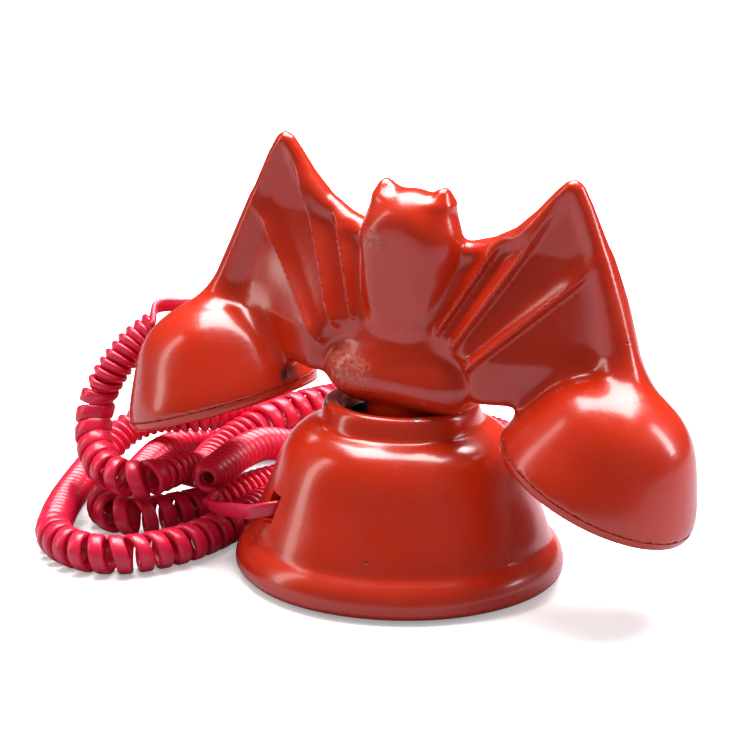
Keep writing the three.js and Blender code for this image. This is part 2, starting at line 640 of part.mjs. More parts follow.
function addCord() {
  place(turned(SLOT.angle), "cord_clamp", cordClamp(), COLOUR.black, 0.6);
  const thin = disc(CORD.tailRadius, 8);
  const { point, normal } = cordSeat();
  handset.updateMatrixWorld();
  const mouth = handset.localToWorld(point.addScaledVector(normal, GROMMET_HEIGHT + GAP)).toArray();
  const tails = { cord_tail_base: laid(TAIL_BASE), cord_tail_handset: [mouth, ...laid(TAIL_HANDSET)] };
  for (const [name, route] of Object.entries(tails)) {
    place(model, name, tube(route, thin, 16), COLOUR.cord, 0.4);
  }
  const fat = disc(CORD.coilRadius, 8);
  const curve = new THREE.CatmullRomCurve3(laid(COIL_ROUTE).map((p) => new THREE.Vector3(...p)));
  const spaced = curve.getSpacedPoints(CORD.steps);
  const lying = spaced.slice(0, CORD.cutStep + 1).map((p) => p.toArray());
  const rising = spaced.slice(CORD.cutStep).map((p) => p.toArray());
  rising[0] = spaced[CORD.cutStep].clone().lerp(spaced[CORD.cutStep + 1], CORD.cutShare).toArray();
  place(model, "cord_coil", tube(lying, fat, CORD.cutStep), COLOUR.cord, 0.4);
  place(model, "cord_coil_end", tube(rising, fat, CORD.steps - CORD.cutStep), COLOUR.cord, 0.4);
}

addBase();
addHookSwitch();
addRinger();
addElectrics();
addHandset();
addCord();

export default model;
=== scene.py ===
"""Looks of a winged table telephone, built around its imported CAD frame.

Lengths in the shape classes are millimetres, as in the part's own source. They become metres when a mesh
is made. The studio is in metres throughout.
The part stands on z = 0, with the handset along X and its front towards -Y.
"""

import itertools
import json
import logging
import math
from dataclasses import dataclass
from enum import Enum
from typing import Sequence

import bpy
import numpy as np
import openvdb as vdb
from mathutils import Matrix, Vector


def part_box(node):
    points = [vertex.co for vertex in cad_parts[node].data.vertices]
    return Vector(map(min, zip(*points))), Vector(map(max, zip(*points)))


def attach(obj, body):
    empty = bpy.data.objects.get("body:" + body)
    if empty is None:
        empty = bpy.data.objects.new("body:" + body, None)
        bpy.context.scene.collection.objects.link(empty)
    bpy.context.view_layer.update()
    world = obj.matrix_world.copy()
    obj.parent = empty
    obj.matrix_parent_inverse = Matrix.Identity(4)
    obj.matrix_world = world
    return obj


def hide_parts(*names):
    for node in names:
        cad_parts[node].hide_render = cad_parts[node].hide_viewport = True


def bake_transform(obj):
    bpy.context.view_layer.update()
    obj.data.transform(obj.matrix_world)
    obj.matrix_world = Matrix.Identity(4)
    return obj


LOG = logging.getLogger("telephone")
MM = 0.001
Array = np.ndarray
# Distance fields are kept this far from the surface, in millimetres.
BAND = 3.0
# Scales down a field whose slope is steeper than one.
STEEPEST = 0.9

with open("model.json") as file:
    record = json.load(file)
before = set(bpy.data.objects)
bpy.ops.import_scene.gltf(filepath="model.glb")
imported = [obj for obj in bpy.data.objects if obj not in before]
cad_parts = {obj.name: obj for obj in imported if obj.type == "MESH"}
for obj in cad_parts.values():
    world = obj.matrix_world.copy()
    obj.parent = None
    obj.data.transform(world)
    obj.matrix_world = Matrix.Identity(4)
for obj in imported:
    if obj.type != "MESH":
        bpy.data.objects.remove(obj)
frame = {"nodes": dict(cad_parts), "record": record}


# --------------------------------------------------------------------------- small helpers
class Handset(Enum):
    """Which end of the handset a piece belongs to; the value is its sign along X."""

    TRANSMITTER = -1
    RECEIVER = 1


def linear(colour: str, alpha: float = 1.0) -> tuple[float, float, float, float]:
    """Turns an sRGB hex colour into the linear values that shaders take.

    Args:
        colour: "#rrggbb".
        alpha: the fourth value.

    Returns:
        Red, green, blue and alpha.
    """
    values = [int(colour[i : i + 2], 16) / 255 for i in (1, 3, 5)]
    r, g, b = (v / 12.92 if v <= 0.04045 else ((v + 0.055) / 1.055) ** 2.4 for v in values)
    return r, g, b, alpha


def smoothstep(low: float, high: float, value: Array) -> Array:
    """Smooth 0 to 1 ramp between low and high, which may be in falling order."""
    t = np.clip((value - low) / (high - low), 0.0, 1.0)
    return t * t * (3 - 2 * t)


def smooth_min(a: Array, b: Array, blend: float) -> Array:
    """Union of two distance fields with a fillet of about blend millimetres."""
    h = np.clip(0.5 + 0.5 * (b - a) / blend, 0.0, 1.0)
    return b + (a - b) * h - blend * h * (1 - h)


def smooth_max(a: Array, b: Array, blend: float) -> Array:
    """Intersection of two distance fields with a rounded edge."""
    return -smooth_min(-a, -b, blend)


def catmull_rom(points: Sequence[Sequence[float]], step: float) -> Array:
    """Samples a centripetal Catmull-Rom curve.

    Args:
        points: the points it passes through.
        step: the wanted distance between samples.

    Returns:
        Evenly spaced samples, one row each.
    """
    p = np.asarray(points, float)
    p = np.vstack([2 * p[0] - p[1], p, 2 * p[-1] - p[-2]])
    knots = np.concatenate([[0.0], np.cumsum(np.sqrt(np.linalg.norm(np.diff(p, axis=0), axis=1)))])
    out = []
    for i in range(1, len(p) - 2):
        t0, t1, t2, t3 = knots[i - 1 : i + 3]
        t = np.linspace(t1, t2, 24, endpoint=False)[:, None]
        a1 = (t1 - t) / (t1 - t0) * p[i - 1] + (t - t0) / (t1 - t0) * p[i]
        a2 = (t2 - t) / (t2 - t1) * p[i] + (t - t1) / (t2 - t1) * p[i + 1]
        a3 = (t3 - t) / (t3 - t2) * p[i + 1] + (t - t2) / (t3 - t2) * p[i + 2]
        b1 = (t2 - t) / (t2 - t0) * a1 + (t - t0) / (t2 - t0) * a2
        b2 = (t3 - t) / (t3 - t1) * a2 + (t - t1) / (t3 - t1) * a3
        out.append((t2 - t) / (t2 - t1) * b1 + (t - t1) / (t2 - t1) * b2)
    return resampled(np.vstack([*out, p[-2][None]]), step)


def resampled(line: Array, step: float) -> Array:
    """A polyline's points, spread evenly about step apart."""
    s = np.concatenate([[0.0], np.cumsum(np.linalg.norm(np.diff(line, axis=0), axis=1))])
    wanted = np.linspace(0.0, s[-1], max(2, int(round(s[-1] / step)) + 1))
    return np.stack([np.interp(wanted, s, line[:, k]) for k in range(3)], axis=1)


def unit(rows: Array) -> Array:
    """Each row scaled to length one."""
    return rows / np.maximum(np.linalg.norm(rows, axis=-1, keepdims=True), 1e-9)


def mesh_object(name: str, points: Array, faces: Sequence, material: bpy.types.Material) -> bpy.types.Object:
    """Makes a smooth-shaded object from points in millimetres.

    Args:
        name: the piece's name.
        points: one row for each vertex.
        faces: vertex indices of each face.
        material: its only material.

    Returns:
        The object, untransformed, with its place in its mesh.
    """
    mesh = bpy.data.meshes.new(name)
    mesh.from_pydata((np.asarray(points) * MM).tolist(), [], [list(map(int, f)) for f in faces])
    mesh.materials.append(material)
    mesh.validate()
    mesh.polygons.foreach_set("use_smooth", [True] * len(mesh.polygons))
    mesh.update()
    piece = bpy.data.objects.new(name, mesh)
    bpy.context.scene.collection.objects.link(piece)
    return piece


def finished(piece: bpy.types.Object, body: str, slot: str, *nodes: str) -> bpy.types.Object:
    """Hangs a piece on its CAD body, hides the CAD nodes that it stands for and logs its face count."""
    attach(piece, body)
    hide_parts(*nodes)
    LOG.info("%s: %d faces on %s", piece.name, len(piece.data.polygons), body)
    return piece


def carved(piece: bpy.types.Object, *tools: bpy.types.Object) -> bpy.types.Object:
    """Cuts closed tools out of a closed piece, and removes the tools."""
    for tool in tools:
        step = piece.modifiers.new("cut", "BOOLEAN")
        step.operation, step.solver, step.object = "DIFFERENCE", "EXACT", tool
        graph = bpy.context.evaluated_depsgraph_get()
        mesh = bpy.data.meshes.new_from_object(piece.evaluated_get(graph))
        piece.modifiers.remove(step)
        piece.data = mesh
        bpy.data.objects.remove(tool)
    piece.data.set_sharp_from_angle(angle=math.radians(42))
    return piece


def marked(
    piece: bpy.types.Object, name: str, points: Array, places: Sequence[tuple], core: float = 0.45
) -> None:
    """Stores a mark of wear or of painted shade as a point attribute that fades out from each place.

    Args:
        piece: the piece to mark.
        name: the attribute's name.
        points: where each vertex counts as being, in millimetres.
        places: centre and radius of each mark.
        core: share of the radius inside which a mark is full.
    """
    weight = np.zeros(len(points))
    for centre, radius in places:
        distance = np.linalg.norm(points - np.array(centre, float), axis=1)
        weight = np.maximum(weight, smoothstep(radius, radius * core, distance))
    attribute = piece.data.attributes.new(name, "FLOAT", "POINT")
    attribute.data.foreach_set("value", weight.astype(np.float32))


def lathe_faces(rings: int, around: int, closed: bool) -> list[tuple[int, int, int, int]]:
    """Quads between rings of vertices; closed also joins the last ring to the first."""
    faces = []
    for i in range(rings if closed else rings - 1):
        for j in range(around):
            a, b = i * around + j, i * around + (j + 1) % around
            c, d = ((i + 1) % rings) * around + j, ((i + 1) % rings) * around + (j + 1) % around
            faces.append((a, b, d, c))
    return faces


# --------------------------------------------------------------------------- materials
def add_node(tree: bpy.types.NodeTree, kind: str, inputs: dict | None = None, **settings) -> bpy.types.Node:
    """Adds a node, sets its properties, and sets or links its inputs.

    Args:
        tree: the tree it goes in.
        kind: the node's type name.
        inputs: socket name or number to a value, or to an output socket to link from.
        settings: properties of the node.

    Returns:
        The new node.
    """
    node = tree.nodes.new(kind)
    for key, value in settings.items():
        setattr(node, key, value)
    for key, value in (inputs or {}).items():
        if isinstance(value, bpy.types.NodeSocket):
            tree.links.new(value, node.inputs[key])
        else:
            node.inputs[key].default_value = value
    return node


class Finish:
    """A material under construction: its tree, its Principled shader and its coordinates."""

    def __init__(self, name: str, **values) -> None:
        """Starts a material.

        Args:
            name: the material's name.
            values: Principled inputs, with underscores for spaces.
        """
        self.material = bpy.data.materials.new(name)
        self.material.use_nodes = True
        self.tree = self.material.node_tree
        self.shader = self.tree.nodes["Principled BSDF"]
        for key, value in values.items():
            self.shader.inputs[key.replace("_", " ")].default_value = value
        self.place = add_node(self.tree, "ShaderNodeTexCoord").outputs["Object"]

    def noise(self, scale: float, detail: float = 3.0, stretch: tuple = (1, 1, 1), rough: float = 0.55):
        """Noise value over the object, stretched by axis."""
        mapping = add_node(self.tree, "ShaderNodeMapping", {"Vector": self.place, "Scale": stretch})
        inputs = {"Vector": mapping.outputs[0], "Scale": scale, "Detail": detail, "Roughness": rough}
        return add_node(self.tree, "ShaderNodeTexNoise", inputs).outputs["Fac"]

    def ramp(self, value, low: float, high: float, out_low: float = 0.0, out_high: float = 1.0):
        """Remaps a value, clamped, with smooth ends."""
        inputs = {"Value": value, 1: low, 2: high, 3: out_low, 4: out_high}
        node = add_node(self.tree, "ShaderNodeMapRange", None, interpolation_type="SMOOTHSTEP")
        for key, item in inputs.items():
            if isinstance(item, bpy.types.NodeSocket):
                self.tree.links.new(item, node.inputs[key])
            else:
                node.inputs[key].default_value = item
        return node.outputs["Result"]

    def math(self, operation: str, a, b=0.0):
        """One arithmetic step."""
        return add_node(self.tree, "ShaderNodeMath", {0: a, 1: b}, operation=operation).outputs[0]

    def mix(self, factor, a, b):
        """Mixes two colours."""
        inputs = {"Factor": factor, 6: a, 7: b}
        return add_node(self.tree, "ShaderNodeMix", inputs, data_type="RGBA").outputs[2]

    def mark(self, name: str):
        """A mark of wear or of painted shade, stored on the mesh as a point attribute."""
        return add_node(self.tree, "ShaderNodeAttribute", None, attribute_name=name).outputs["Fac"]

    def bump(self, height, distance: float, strength: float = 1.0, after=None):
        """Bump from a height, on top of an earlier bump if there is one."""
        inputs = {"Height": height, "Distance": distance, "Strength": strength}
        if after is not None:
            inputs["Normal"] = after
        return add_node(self.tree, "ShaderNodeBump", inputs).outputs["Normal"]

    def set(self, **links) -> bpy.types.Material:
        """Links Principled inputs and returns the material."""
        for key, socket in links.items():
            self.tree.links.new(socket, self.shader.inputs[key.replace("_", " ")])
        return self.material


@dataclass(frozen=True)
class EnamelPaint:
    """Orange-red enamel brushed by hand over cast metal: fine streaks, pinholes, edges lightened partly by
    wear and partly as a painted highlight, a dark scuff, painted shade in the well, and chips.
    """

    name: str = "brushed_red_enamel"
    red: str = "#c22807"
    deep: str = "#a91c05"
    # Light tone of the brush streaks and of the edges. On the edges it stands partly for wear and partly for
    # a painted highlight.
    worn_and_sheen: str = "#bf5a44"
    rubbed: str = "#c98a72"
    pit: str = "#3a0f0a"
    metal: str = "#8b8d88"
    # Near-black of a real scuff by the transmitter cup, and of painted shade on the spigot down in the well.
    scuff_and_shade: str = "#1d1413"
    streaks: tuple = (0.35, 0.35, 9.0)

    def make(self) -> bpy.types.Material:
        """Builds the material."""
        f = Finish(self.name, IOR=1.5, Coat_Weight=0.5, Coat_Roughness=0.13, Coat_IOR=1.5)
        cloud = f.ramp(f.noise(38.0, 4.0), 0.35, 0.7)
        colour = f.mix(f.math("MULTIPLY", cloud, 0.3), linear(self.red), linear(self.deep))
        streak = f.noise(150.0, 3.0, self.streaks)
        colour = f.mix(f.ramp(streak, 0.58, 0.85, 0.0, 0.06), colour, linear(self.worn_and_sheen))
        # Convex edges are lightened by pointiness: partly rubbed paint, partly a painted highlight along the
        # ridges.
        geometry = add_node(f.tree, "ShaderNodeNewGeometry").outputs["Pointiness"]
        edge = f.ramp(geometry, 0.53, 0.6, 0.0, 0.5)
        edge = f.math("MULTIPLY", edge, f.ramp(f.noise(420.0), 0.35, 0.65))
        colour = f.mix(edge, colour, linear(self.worn_and_sheen))
        cells = {"Vector": f.place, "Scale": 150.0, "Randomness": 1.0}
        pits = add_node(f.tree, "ShaderNodeTexVoronoi", cells)
        rare = f.ramp(f.noise(30.0, 2.0), 0.6, 0.66)
        pit = f.math("MULTIPLY", f.ramp(pits.outputs["Distance"], 0.085, 0.045), rare)
        colour = f.mix(pit, colour, linear(self.pit))
        rough_patch = f.math("MULTIPLY", f.mark("rough"), f.ramp(f.noise(900.0, 4.0), 0.4, 0.62))
        colour = f.mix(f.math("MULTIPLY", rough_patch, 0.55), colour, linear(self.rubbed))
        # Near-black from this mark: a real scuff by the transmitter cup, and painted shade on the spigot in
        # the well.
        scuff_and_shade = f.math("MULTIPLY", f.mark("scuff_and_shade"), f.ramp(f.noise(260.0, 5.0), 0.36, 0.6))
        colour = f.mix(scuff_and_shade, colour, linear(self.scuff_and_shade))
        chipped = f.math("ADD", f.mark("chip"), f.math("MULTIPLY", f.noise(700.0, 3.0), 0.5))
        bare = f.ramp(chipped, 0.72, 0.8)
        colour = f.mix(bare, colour, linear(self.metal))
        grain = f.ramp(f.noise(60.0, 3.0), 0.3, 0.75, 0.2, 0.34)
        roughness = f.math("ADD", grain, f.math("MULTIPLY", f.math("ADD", rough_patch, scuff_and_shade), 0.35))
        normal = f.bump(streak, 0.00022, 0.12)
        normal = f.bump(f.noise(26.0, 2.0), 0.0012, 0.12, normal)
        normal = f.bump(f.noise(420.0, 4.0), 0.00016, 0.3, normal)
        normal = f.bump(f.math("MULTIPLY", pit, -1.0), 0.0003, 0.8, normal)
        normal = f.bump(f.math("MULTIPLY", f.noise(900.0, 4.0), f.mark("rough")), 0.0006, 0.8, normal)
        normal = f.bump(f.math("MULTIPLY", bare, -1.0), 0.00035, 0.9, normal)
        metallic = f.math("MULTIPLY", bare, 0.7)
        return f.set(Base_Color=colour, Roughness=roughness, Normal=normal, Metallic=metallic)


@dataclass(frozen=True)
class CordPlastic:
    """Crimson PVC of the flat cord: even colour, soft shine, faint dust where it has rubbed."""

    name: str = "crimson_pvc"
    base: str = "#e01641"
    dull: str = "#b21034"

    def make(self) -> bpy.types.Material:
        """Builds the material."""
        f = Finish(self.name, IOR=1.5, Coat_Weight=0.25, Coat_Roughness=0.2)
        colour = f.mix(f.ramp(f.noise(45.0, 4.0), 0.35, 0.7, 0.0, 0.5), linear(self.base), linear(self.dull))
        roughness = f.ramp(f.noise(200.0, 3.0), 0.3, 0.7, 0.28, 0.42)
        normal = f.bump(f.noise(1400.0, 2.0), 0.00008, 0.4)
        return f.set(Base_Color=colour, Roughness=roughness, Normal=normal)


@dataclass(frozen=True)
class MetalFinish:
    """Plain metal with fine brushing and slight tarnish."""

    name: str
    base: str
    tarnish: str
    roughness: float = 0.32

    def make(self) -> bpy.types.Material:
        """Builds the material."""
        f = Finish(self.name, Metallic=1.0)
        colour = f.mix(f.ramp(f.noise(90.0, 5.0), 0.45, 0.75), linear(self.base), linear(self.tarnish))
        brushed = f.noise(500.0, 3.0, (1, 1, 8))
        roughness = f.ramp(brushed, 0.3, 0.7, self.roughness - 0.08, self.roughness + 0.12)
        normal = f.bump(f.noise(1200.0, 2.0), 0.00005, 0.4)
        return f.set(Base_Color=colour, Roughness=roughness, Normal=normal)


@dataclass(frozen=True)
class DullFinish:
    """Moulded plastic, rubber, laminate or tape: fine grain and uneven wear."""

    name: str
    base: str
    second: str
    roughness: float
    grain: float = 900.0
    depth: float = 0.0001

    def make(self) -> bpy.types.Material:
        """Builds the material."""
        f = Finish(self.name)
        colour = f.mix(f.ramp(f.noise(70.0, 5.0), 0.4, 0.7), linear(self.base), linear(self.second))
        roughness = f.ramp(f.noise(160.0), 0.3, 0.7, self.roughness - 0.07, self.roughness + 0.07)
        normal = f.bump(f.noise(self.grain), self.depth, 0.6)
        return f.set(Base_Color=colour, Roughness=roughness, Normal=normal)


class Finishes:
    """Every finish of the object, by the record's material slot."""

    def __init__(self) -> None:
        self.by_slot = {
            # glossy orange-red with soft wide highlights
            "paint": EnamelPaint().make(),
            # zinc-plated steel, pale and faintly brushed
            "steel": MetalFinish("zinc_plated_steel", "#b4b7ba", "#8d8f90").make(),
            # satin aluminium of the two capsules
            "capsule_metal": MetalFinish("satin_aluminium", "#c4c6c8", "#a5a7a9", 0.4).make(),
            # yellow brass of the gong and the switch leaves
            "brass": MetalFinish("yellow_brass", "#b58a3e", "#7f5f2c", 0.28).make(),
            # matt black rubber pad and cord sleeve
            "rubber": DullFinish("black_rubber", "#161616", "#222120", 0.75, 600.0, 0.0002).make(),
            # moulded black plastic with a slight shine
            "black_plastic": DullFinish("black_bakelite", "#0f0f10", "#1a1919", 0.38).make(),
            # reddish tape over the ringer's winding
            "winding": DullFinish("winding_tape", "#6d2c17", "#4d1f10", 0.55, 400.0, 0.0002).make(),
            # brown paper laminate
            "board": DullFinish("brown_laminate", "#6b4a24", "#573a1b", 0.5).make(),
            # sleeved twin lead
            "lead": DullFinish("lead_sleeve", "#181614", "#24211e", 0.6).make(),
            # crimson flat cord
            "cord": CordPlastic().make(),
        }

    def dress_frame(self) -> None:
        """Gives every CAD node that stays on view the finish of its slot."""
        for row in frame["record"]["subparts"]:
            mesh = frame["nodes"][row["node"]].data
            mesh.materials.clear()
            mesh.materials.append(self.by_slot[row["material_slot"]])


# --------------------------------------------------------------------------- curly cord
@dataclass(frozen=True)
class CordSizes:
    """The flat wire and how it is wound, in millimetres."""

    turn: float = math.radians(27.8)
    outer: float = 6.0
    width: float = 4.6
    thickness: float = 2.0
    tight: float = 3.15
    loose: float = 5.8
    per_turn: int = 20
    centre_step: float = 0.5
    wire_step: float = 0.9
    # Straight run of wire between the coil's last turn and a tail.
    stub: float = 3.0
    # Where turns lie tight, each leans on the next: how far, and the pitches between which it stops.
    lean_rise: float = 2.06
    upright_pitch: tuple = (5.3, 4.3)
    # Stretches of the route, by the route's point number, where the turns stand apart.
    open_runs: tuple = ((15.5, 23.0), (50.0, 55.0), (72.0, 75.0), (82.5, 88.0))
    route: tuple = (
        (-61, 24, 19.3), (-57, 36, 19.3), (-52, 51, 19.3), (-45, 66, 18), (-36, 79, 13), (-24, 88, 8),
        (-10, 92.5, 6.3), (5, 93, 6.3), (17, 89, 6.3), (23, 78, 6.3), (17, 67, 6.3), (3, 61.5, 6.3),
        (-15, 58, 6.3), (-31, 51.5, 6.3), (-42.5, 41, 6.3), (-49.5, 28, 6.3), (-55, 15.5, 6.3),
        (-61, 6, 6.3), (-67, -1, 6.3), (-75, -7, 6.3), (-84, -11, 6.3), (-93, -10, 6.3),
        (-101, -4, 6.3), (-106.5, 7, 6.3), (-107.5, 21, 6.3), (-107, 37, 6.3), (-105.5, 53, 6.3),
        (-103, 69, 7), (-99, 82, 10), (-92, 89.5, 15), (-82, 91, 19), (-71, 90.5, 19.5),
        (-62, 95, 19.5), (-55, 103.5, 19.5), (-48, 113, 17.5), (-39, 121, 10.5), (-27, 127.5, 7),
        (-11, 131.5, 6.3), (7, 133, 6.3), (25, 128, 6.3), (38, 114, 6.3), (42, 98, 9), (34, 85, 15),
        (20, 78, 19.3), (5, 75, 14.5), (-8, 75, 8.5), (-22, 73, 6.3), (-35, 67, 6.3), (-46, 58, 6.3),
        (-54, 47.5, 6.3), (-61.5, 38.5, 6.3), (-69, 32.5, 6.3), (-77, 27.5, 6.3), (-85, 24.5, 6.3),
        (-91.5, 28, 6.3), (-94, 36.5, 6.3), (-92, 47, 6.3), (-88.5, 58, 6.3), (-86, 69, 6.3),
        (-84, 80, 6.3), (-81, 91, 6.3), (-75, 100, 6.3), (-65, 103.5, 6.3), (-50, 104, 6.3),
        (-34, 106.5, 6.3), (-19, 106.5, 6.3), (-5, 106, 6.3), (6, 108, 7), (12.5, 113, 10.5),
        (10, 118, 15.5), (0, 119.5, 19.5), (-12, 117, 20.5), (-22, 112, 20), (-30, 106, 20),
        (-38, 99.5, 19.5), (-46, 93, 18), (-54, 86, 15), (-61, 77, 12), (-64.5, 66, 10.5),
        (-66, 55, 12), (-67, 45, 15.5), (-70.5, 36.5, 19), (-75, 27.5, 19.3), (-81, 22, 19.3),
        (-88.5, 25, 19.3), (-94, 32, 20.5), (-97.5, 39.5, 24.5), (-98.5, 45, 31), (-97, 47, 38),
        (-94, 46.5, 45), (-90, 47.5, 51), (-85.5, 49.4, 56), (-79.5, 51, 60.6),
    )
    tail_base: tuple = (
        (-29.4, -12.7, 24), (-33, -14.2, 24), (-38.3, -16.4, 23.7), (-44, -14.5, 22), (-51, -4, 18.8),
        (-56.5, 7, 15.6), (-59, 15, 14.2),
    )
    tail_handset: tuple = ((-79, 52.5, 67), (-71, 56, 67), (-63, 60.5, 64.5), (-56.5, 63, 60.5))


class CurlyCord:
    """A flat wire wound in a helix along a lazy route, with a straight tail at each end."""

    def __init__(self, sizes: CordSizes, mouth: Sequence[float], material: bpy.types.Material) -> None:
        """Prepares the cord.

        Args:
            sizes: the wire and its winding.
            mouth: where it goes into the handset, in the part's frame.
            material: its finish.
        """
        self.sizes = sizes
        self.mouth = np.asarray(mouth, float)
        self.material = material

    def laid(self, points: Sequence[Sequence[float]]) -> Array:
        """Turns points of the lay's own frame into the part's frame."""
        c, s = math.cos(self.sizes.turn), math.sin(self.sizes.turn)
        return np.asarray(points, float) @ np.array([[c, s, 0], [-s, c, 0], [0, 0, 1.0]])

    def centre(self) -> tuple[Array, Array, Array]:
        """The coil's centre line with normals that don't twist round it.

        Returns:
            Points, tangents and normals.
        """
        line = catmull_rom(self.laid(self.sizes.route), self.sizes.centre_step)
        reach = 7
        kernel = np.hanning(2 * reach + 1)
        kernel /= kernel.sum()
        padded = np.vstack([line[:1]] * reach + [line] + [line[-1:]] * reach)
        line = np.stack([np.convolve(padded[:, k], kernel, "valid") for k in range(3)], axis=1)
        tangent = unit(np.gradient(line, axis=0))
        first = np.cross(tangent[0], np.cross([0, 0, -1.0], tangent[0]))
        normals = [unit(first)]
        for t in tangent[1:]:
            n = normals[-1] - t * float(normals[-1] @ t)
            normals.append(n / np.linalg.norm(n))
        return line, tangent, np.array(normals)

    def pitches(self, line: Array) -> Array:
        """Distance between neighbouring turns along the coil."""
        points = self.laid(self.sizes.route)
        near = np.array([np.argmin(np.linalg.norm(line - p, axis=1)) for p in points])
        number = np.interp(np.arange(len(line)), np.maximum.accumulate(near), np.arange(len(points)))
        pitch = np.full(len(line), self.sizes.tight)
        opening = self.sizes.loose - self.sizes.tight
        for low, high in self.sizes.open_runs:
            inside = smoothstep(low - 1.2, low + 0.6, number) * smoothstep(high + 1.2, high - 0.6, number)
            pitch = np.maximum(pitch, self.sizes.tight + opening * inside)
        s = np.arange(len(line))
        return pitch * (1 + 0.05 * np.sin(s / 37.0) + 0.03 * np.sin(s / 11.0 + 1.0))

    @staticmethod
    def at_turns(turns: Array, angle: Array, rows: Array) -> Array:
        """Values along the centre line, read off at the winding angles asked for."""
        return np.stack([np.interp(turns, angle, rows[:, k]) for k in range(3)], axis=1)

    def helix(self) -> tuple[Array, Array, Array]:
        """The wound wire.

        Returns:
            Ring centres, the wire's width direction and its thickness direction.
        """
        sizes = self.sizes
        line, tangent, normal = self.centre()
        pitch = self.pitches(line)
        step = np.linalg.norm(np.diff(line, axis=0), axis=1)
        angle = np.concatenate([[0.0], np.cumsum(2 * math.pi * step / (0.5 * (pitch[1:] + pitch[:-1])))])
        wanted = (round(angle[-1] / (2 * math.pi)) + 0.5) * 2 * math.pi
        angle *= wanted / angle[-1]
        turns = np.arange(0.0, wanted, 2 * math.pi / sizes.per_turn)
        centre, t, n = (self.at_turns(turns, angle, rows) for rows in (line, tangent, normal))
        t, n = unit(t), unit(n)
        b = np.cross(t, n)
        local = np.interp(turns, angle, pitch)
        lean = np.arcsin(np.clip(sizes.lean_rise / local, 0, 1)) * smoothstep(*sizes.upright_pitch, local)
        reach = sizes.outer - (sizes.width / 2 * np.sin(lean) + sizes.thickness / 2 * np.cos(lean))
        radial = n * np.cos(turns)[:, None] + b * np.sin(turns)[:, None]
        ring = centre + radial * reach[:, None]
        heading = unit(np.gradient(ring, axis=0))
        flat = unit(t - heading * np.sum(t * heading, axis=1, keepdims=True))
        out = unit(np.cross(heading, flat))
        out *= np.sign(np.sum(out * radial, axis=1, keepdims=True))
        c, s = np.cos(lean)[:, None], np.sin(lean)[:, None]
        return ring, flat * c + out * s, out * c - flat * s

    def wire(self) -> tuple[Array, Array, Array]:
        """The whole wire, tails included, as ring centres with width and thickness directions."""
        ring, wide, thick = self.helix()
        sizes = self.sizes
        start = ring[0] - unit(ring[1] - ring[0]) * sizes.stub
        end = ring[-1] + unit(ring[-1] - ring[-2]) * sizes.stub
        lead_in = np.vstack([self.laid(sizes.tail_base), start, ring[0]])
        lead_out = np.vstack([ring[-1], end, self.laid(sizes.tail_handset), self.mouth])
        first = catmull_rom(lead_in, sizes.wire_step)[:-1]
        last = catmull_rom(lead_out, sizes.wire_step)[1:]
        up = np.array([0.0, 0.0, 1.0])
        path = np.vstack([first, ring, last])
        heading = unit(np.gradient(path, axis=0))
        count = len(path)
        width = np.vstack([np.tile(up, (len(first), 1)), wide, np.tile(up, (len(last), 1))])
        for start, stop, fixed in ((0, len(first), wide[0]), (count - len(last), count, wide[-1])):
            for i in range(start, stop):
                gone = (i - start + 1) / (stop - start + 1)
                share = gone if start == 0 else 1 - gone
                share = float(smoothstep(0.25, 1.0, np.array(share)))
                sign = 1.0 if fixed @ up >= 0 else -1.0
                width[i] = up * sign * (1 - share) + fixed * share
        width = unit(width - heading * np.sum(width * heading, axis=1, keepdims=True))
        thickness = unit(np.cross(width, heading))
        thickness *= np.sign(np.sum(thickness[len(first)] * thick[0]))
        return path, width, thickness

    def build(self) -> bpy.types.Object:
        sizes = self.sizes
        path, width, thickness = self.wire()
        corner = sizes.thickness / 2
        section = []
        for sign in (1, -1):
            for turn in np.linspace(-math.pi / 2, math.pi / 2, 5):
                across = sign * (sizes.width / 2 - corner + corner * 0.8 * math.cos(turn) + 0.2 * corner)
                section.append((across, sign * corner * math.sin(turn)))
        section = np.array(section)
        rings = path[:, None] + width[:, None] * section[None, :, :1]
        rings = rings + thickness[:, None] * section[None, :, 1:]
        around = len(section)
        points = rings.reshape(-1, 3)
        faces = lathe_faces(len(path), around, closed=False)
        ends = [tuple(range(around)), tuple(range(len(points) - around, len(points)))[::-1]]
        piece = mesh_object("curly_cord", points, faces + ends, self.material)
        outward(piece)
        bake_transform(piece)
        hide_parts("cord_coil", "cord_coil_end", "cord_tail_base", "cord_tail_handset")
        return piece


def outward(piece: bpy.types.Object) -> None:
    """Turns a closed mesh's faces outward."""
    mesh = piece.data
    mesh.calc_loop_triangles()
    corners = np.array([v.co for v in mesh.vertices])
    triangles = np.array([t.vertices for t in mesh.loop_triangles])
    a, b, c = (corners[triangles[:, k]] for k in range(3))
    if float(np.sum(a * np.cross(b, c))) < 0:
        mesh.flip_normals()


# --------------------------------------------------------------------------- handset casting
@dataclass(frozen=True)
class Seat:
    """How the handset sits in the well: leaning towards the earpiece and slid a little that way."""

    lean: float = math.radians(2.5)
    shift: float = 1.6
    pivot: float = 50.0

    def placed(self, points: Array) -> Array:
        """Points of the upright handset, leaned and slid."""
        c, s = math.cos(self.lean), math.sin(self.lean)
        x, y, z = points[:, 0], points[:, 1], points[:, 2] - self.pivot
        return np.stack([x * c + z * s + self.shift, y, z * c - x * s + self.pivot], axis=1)


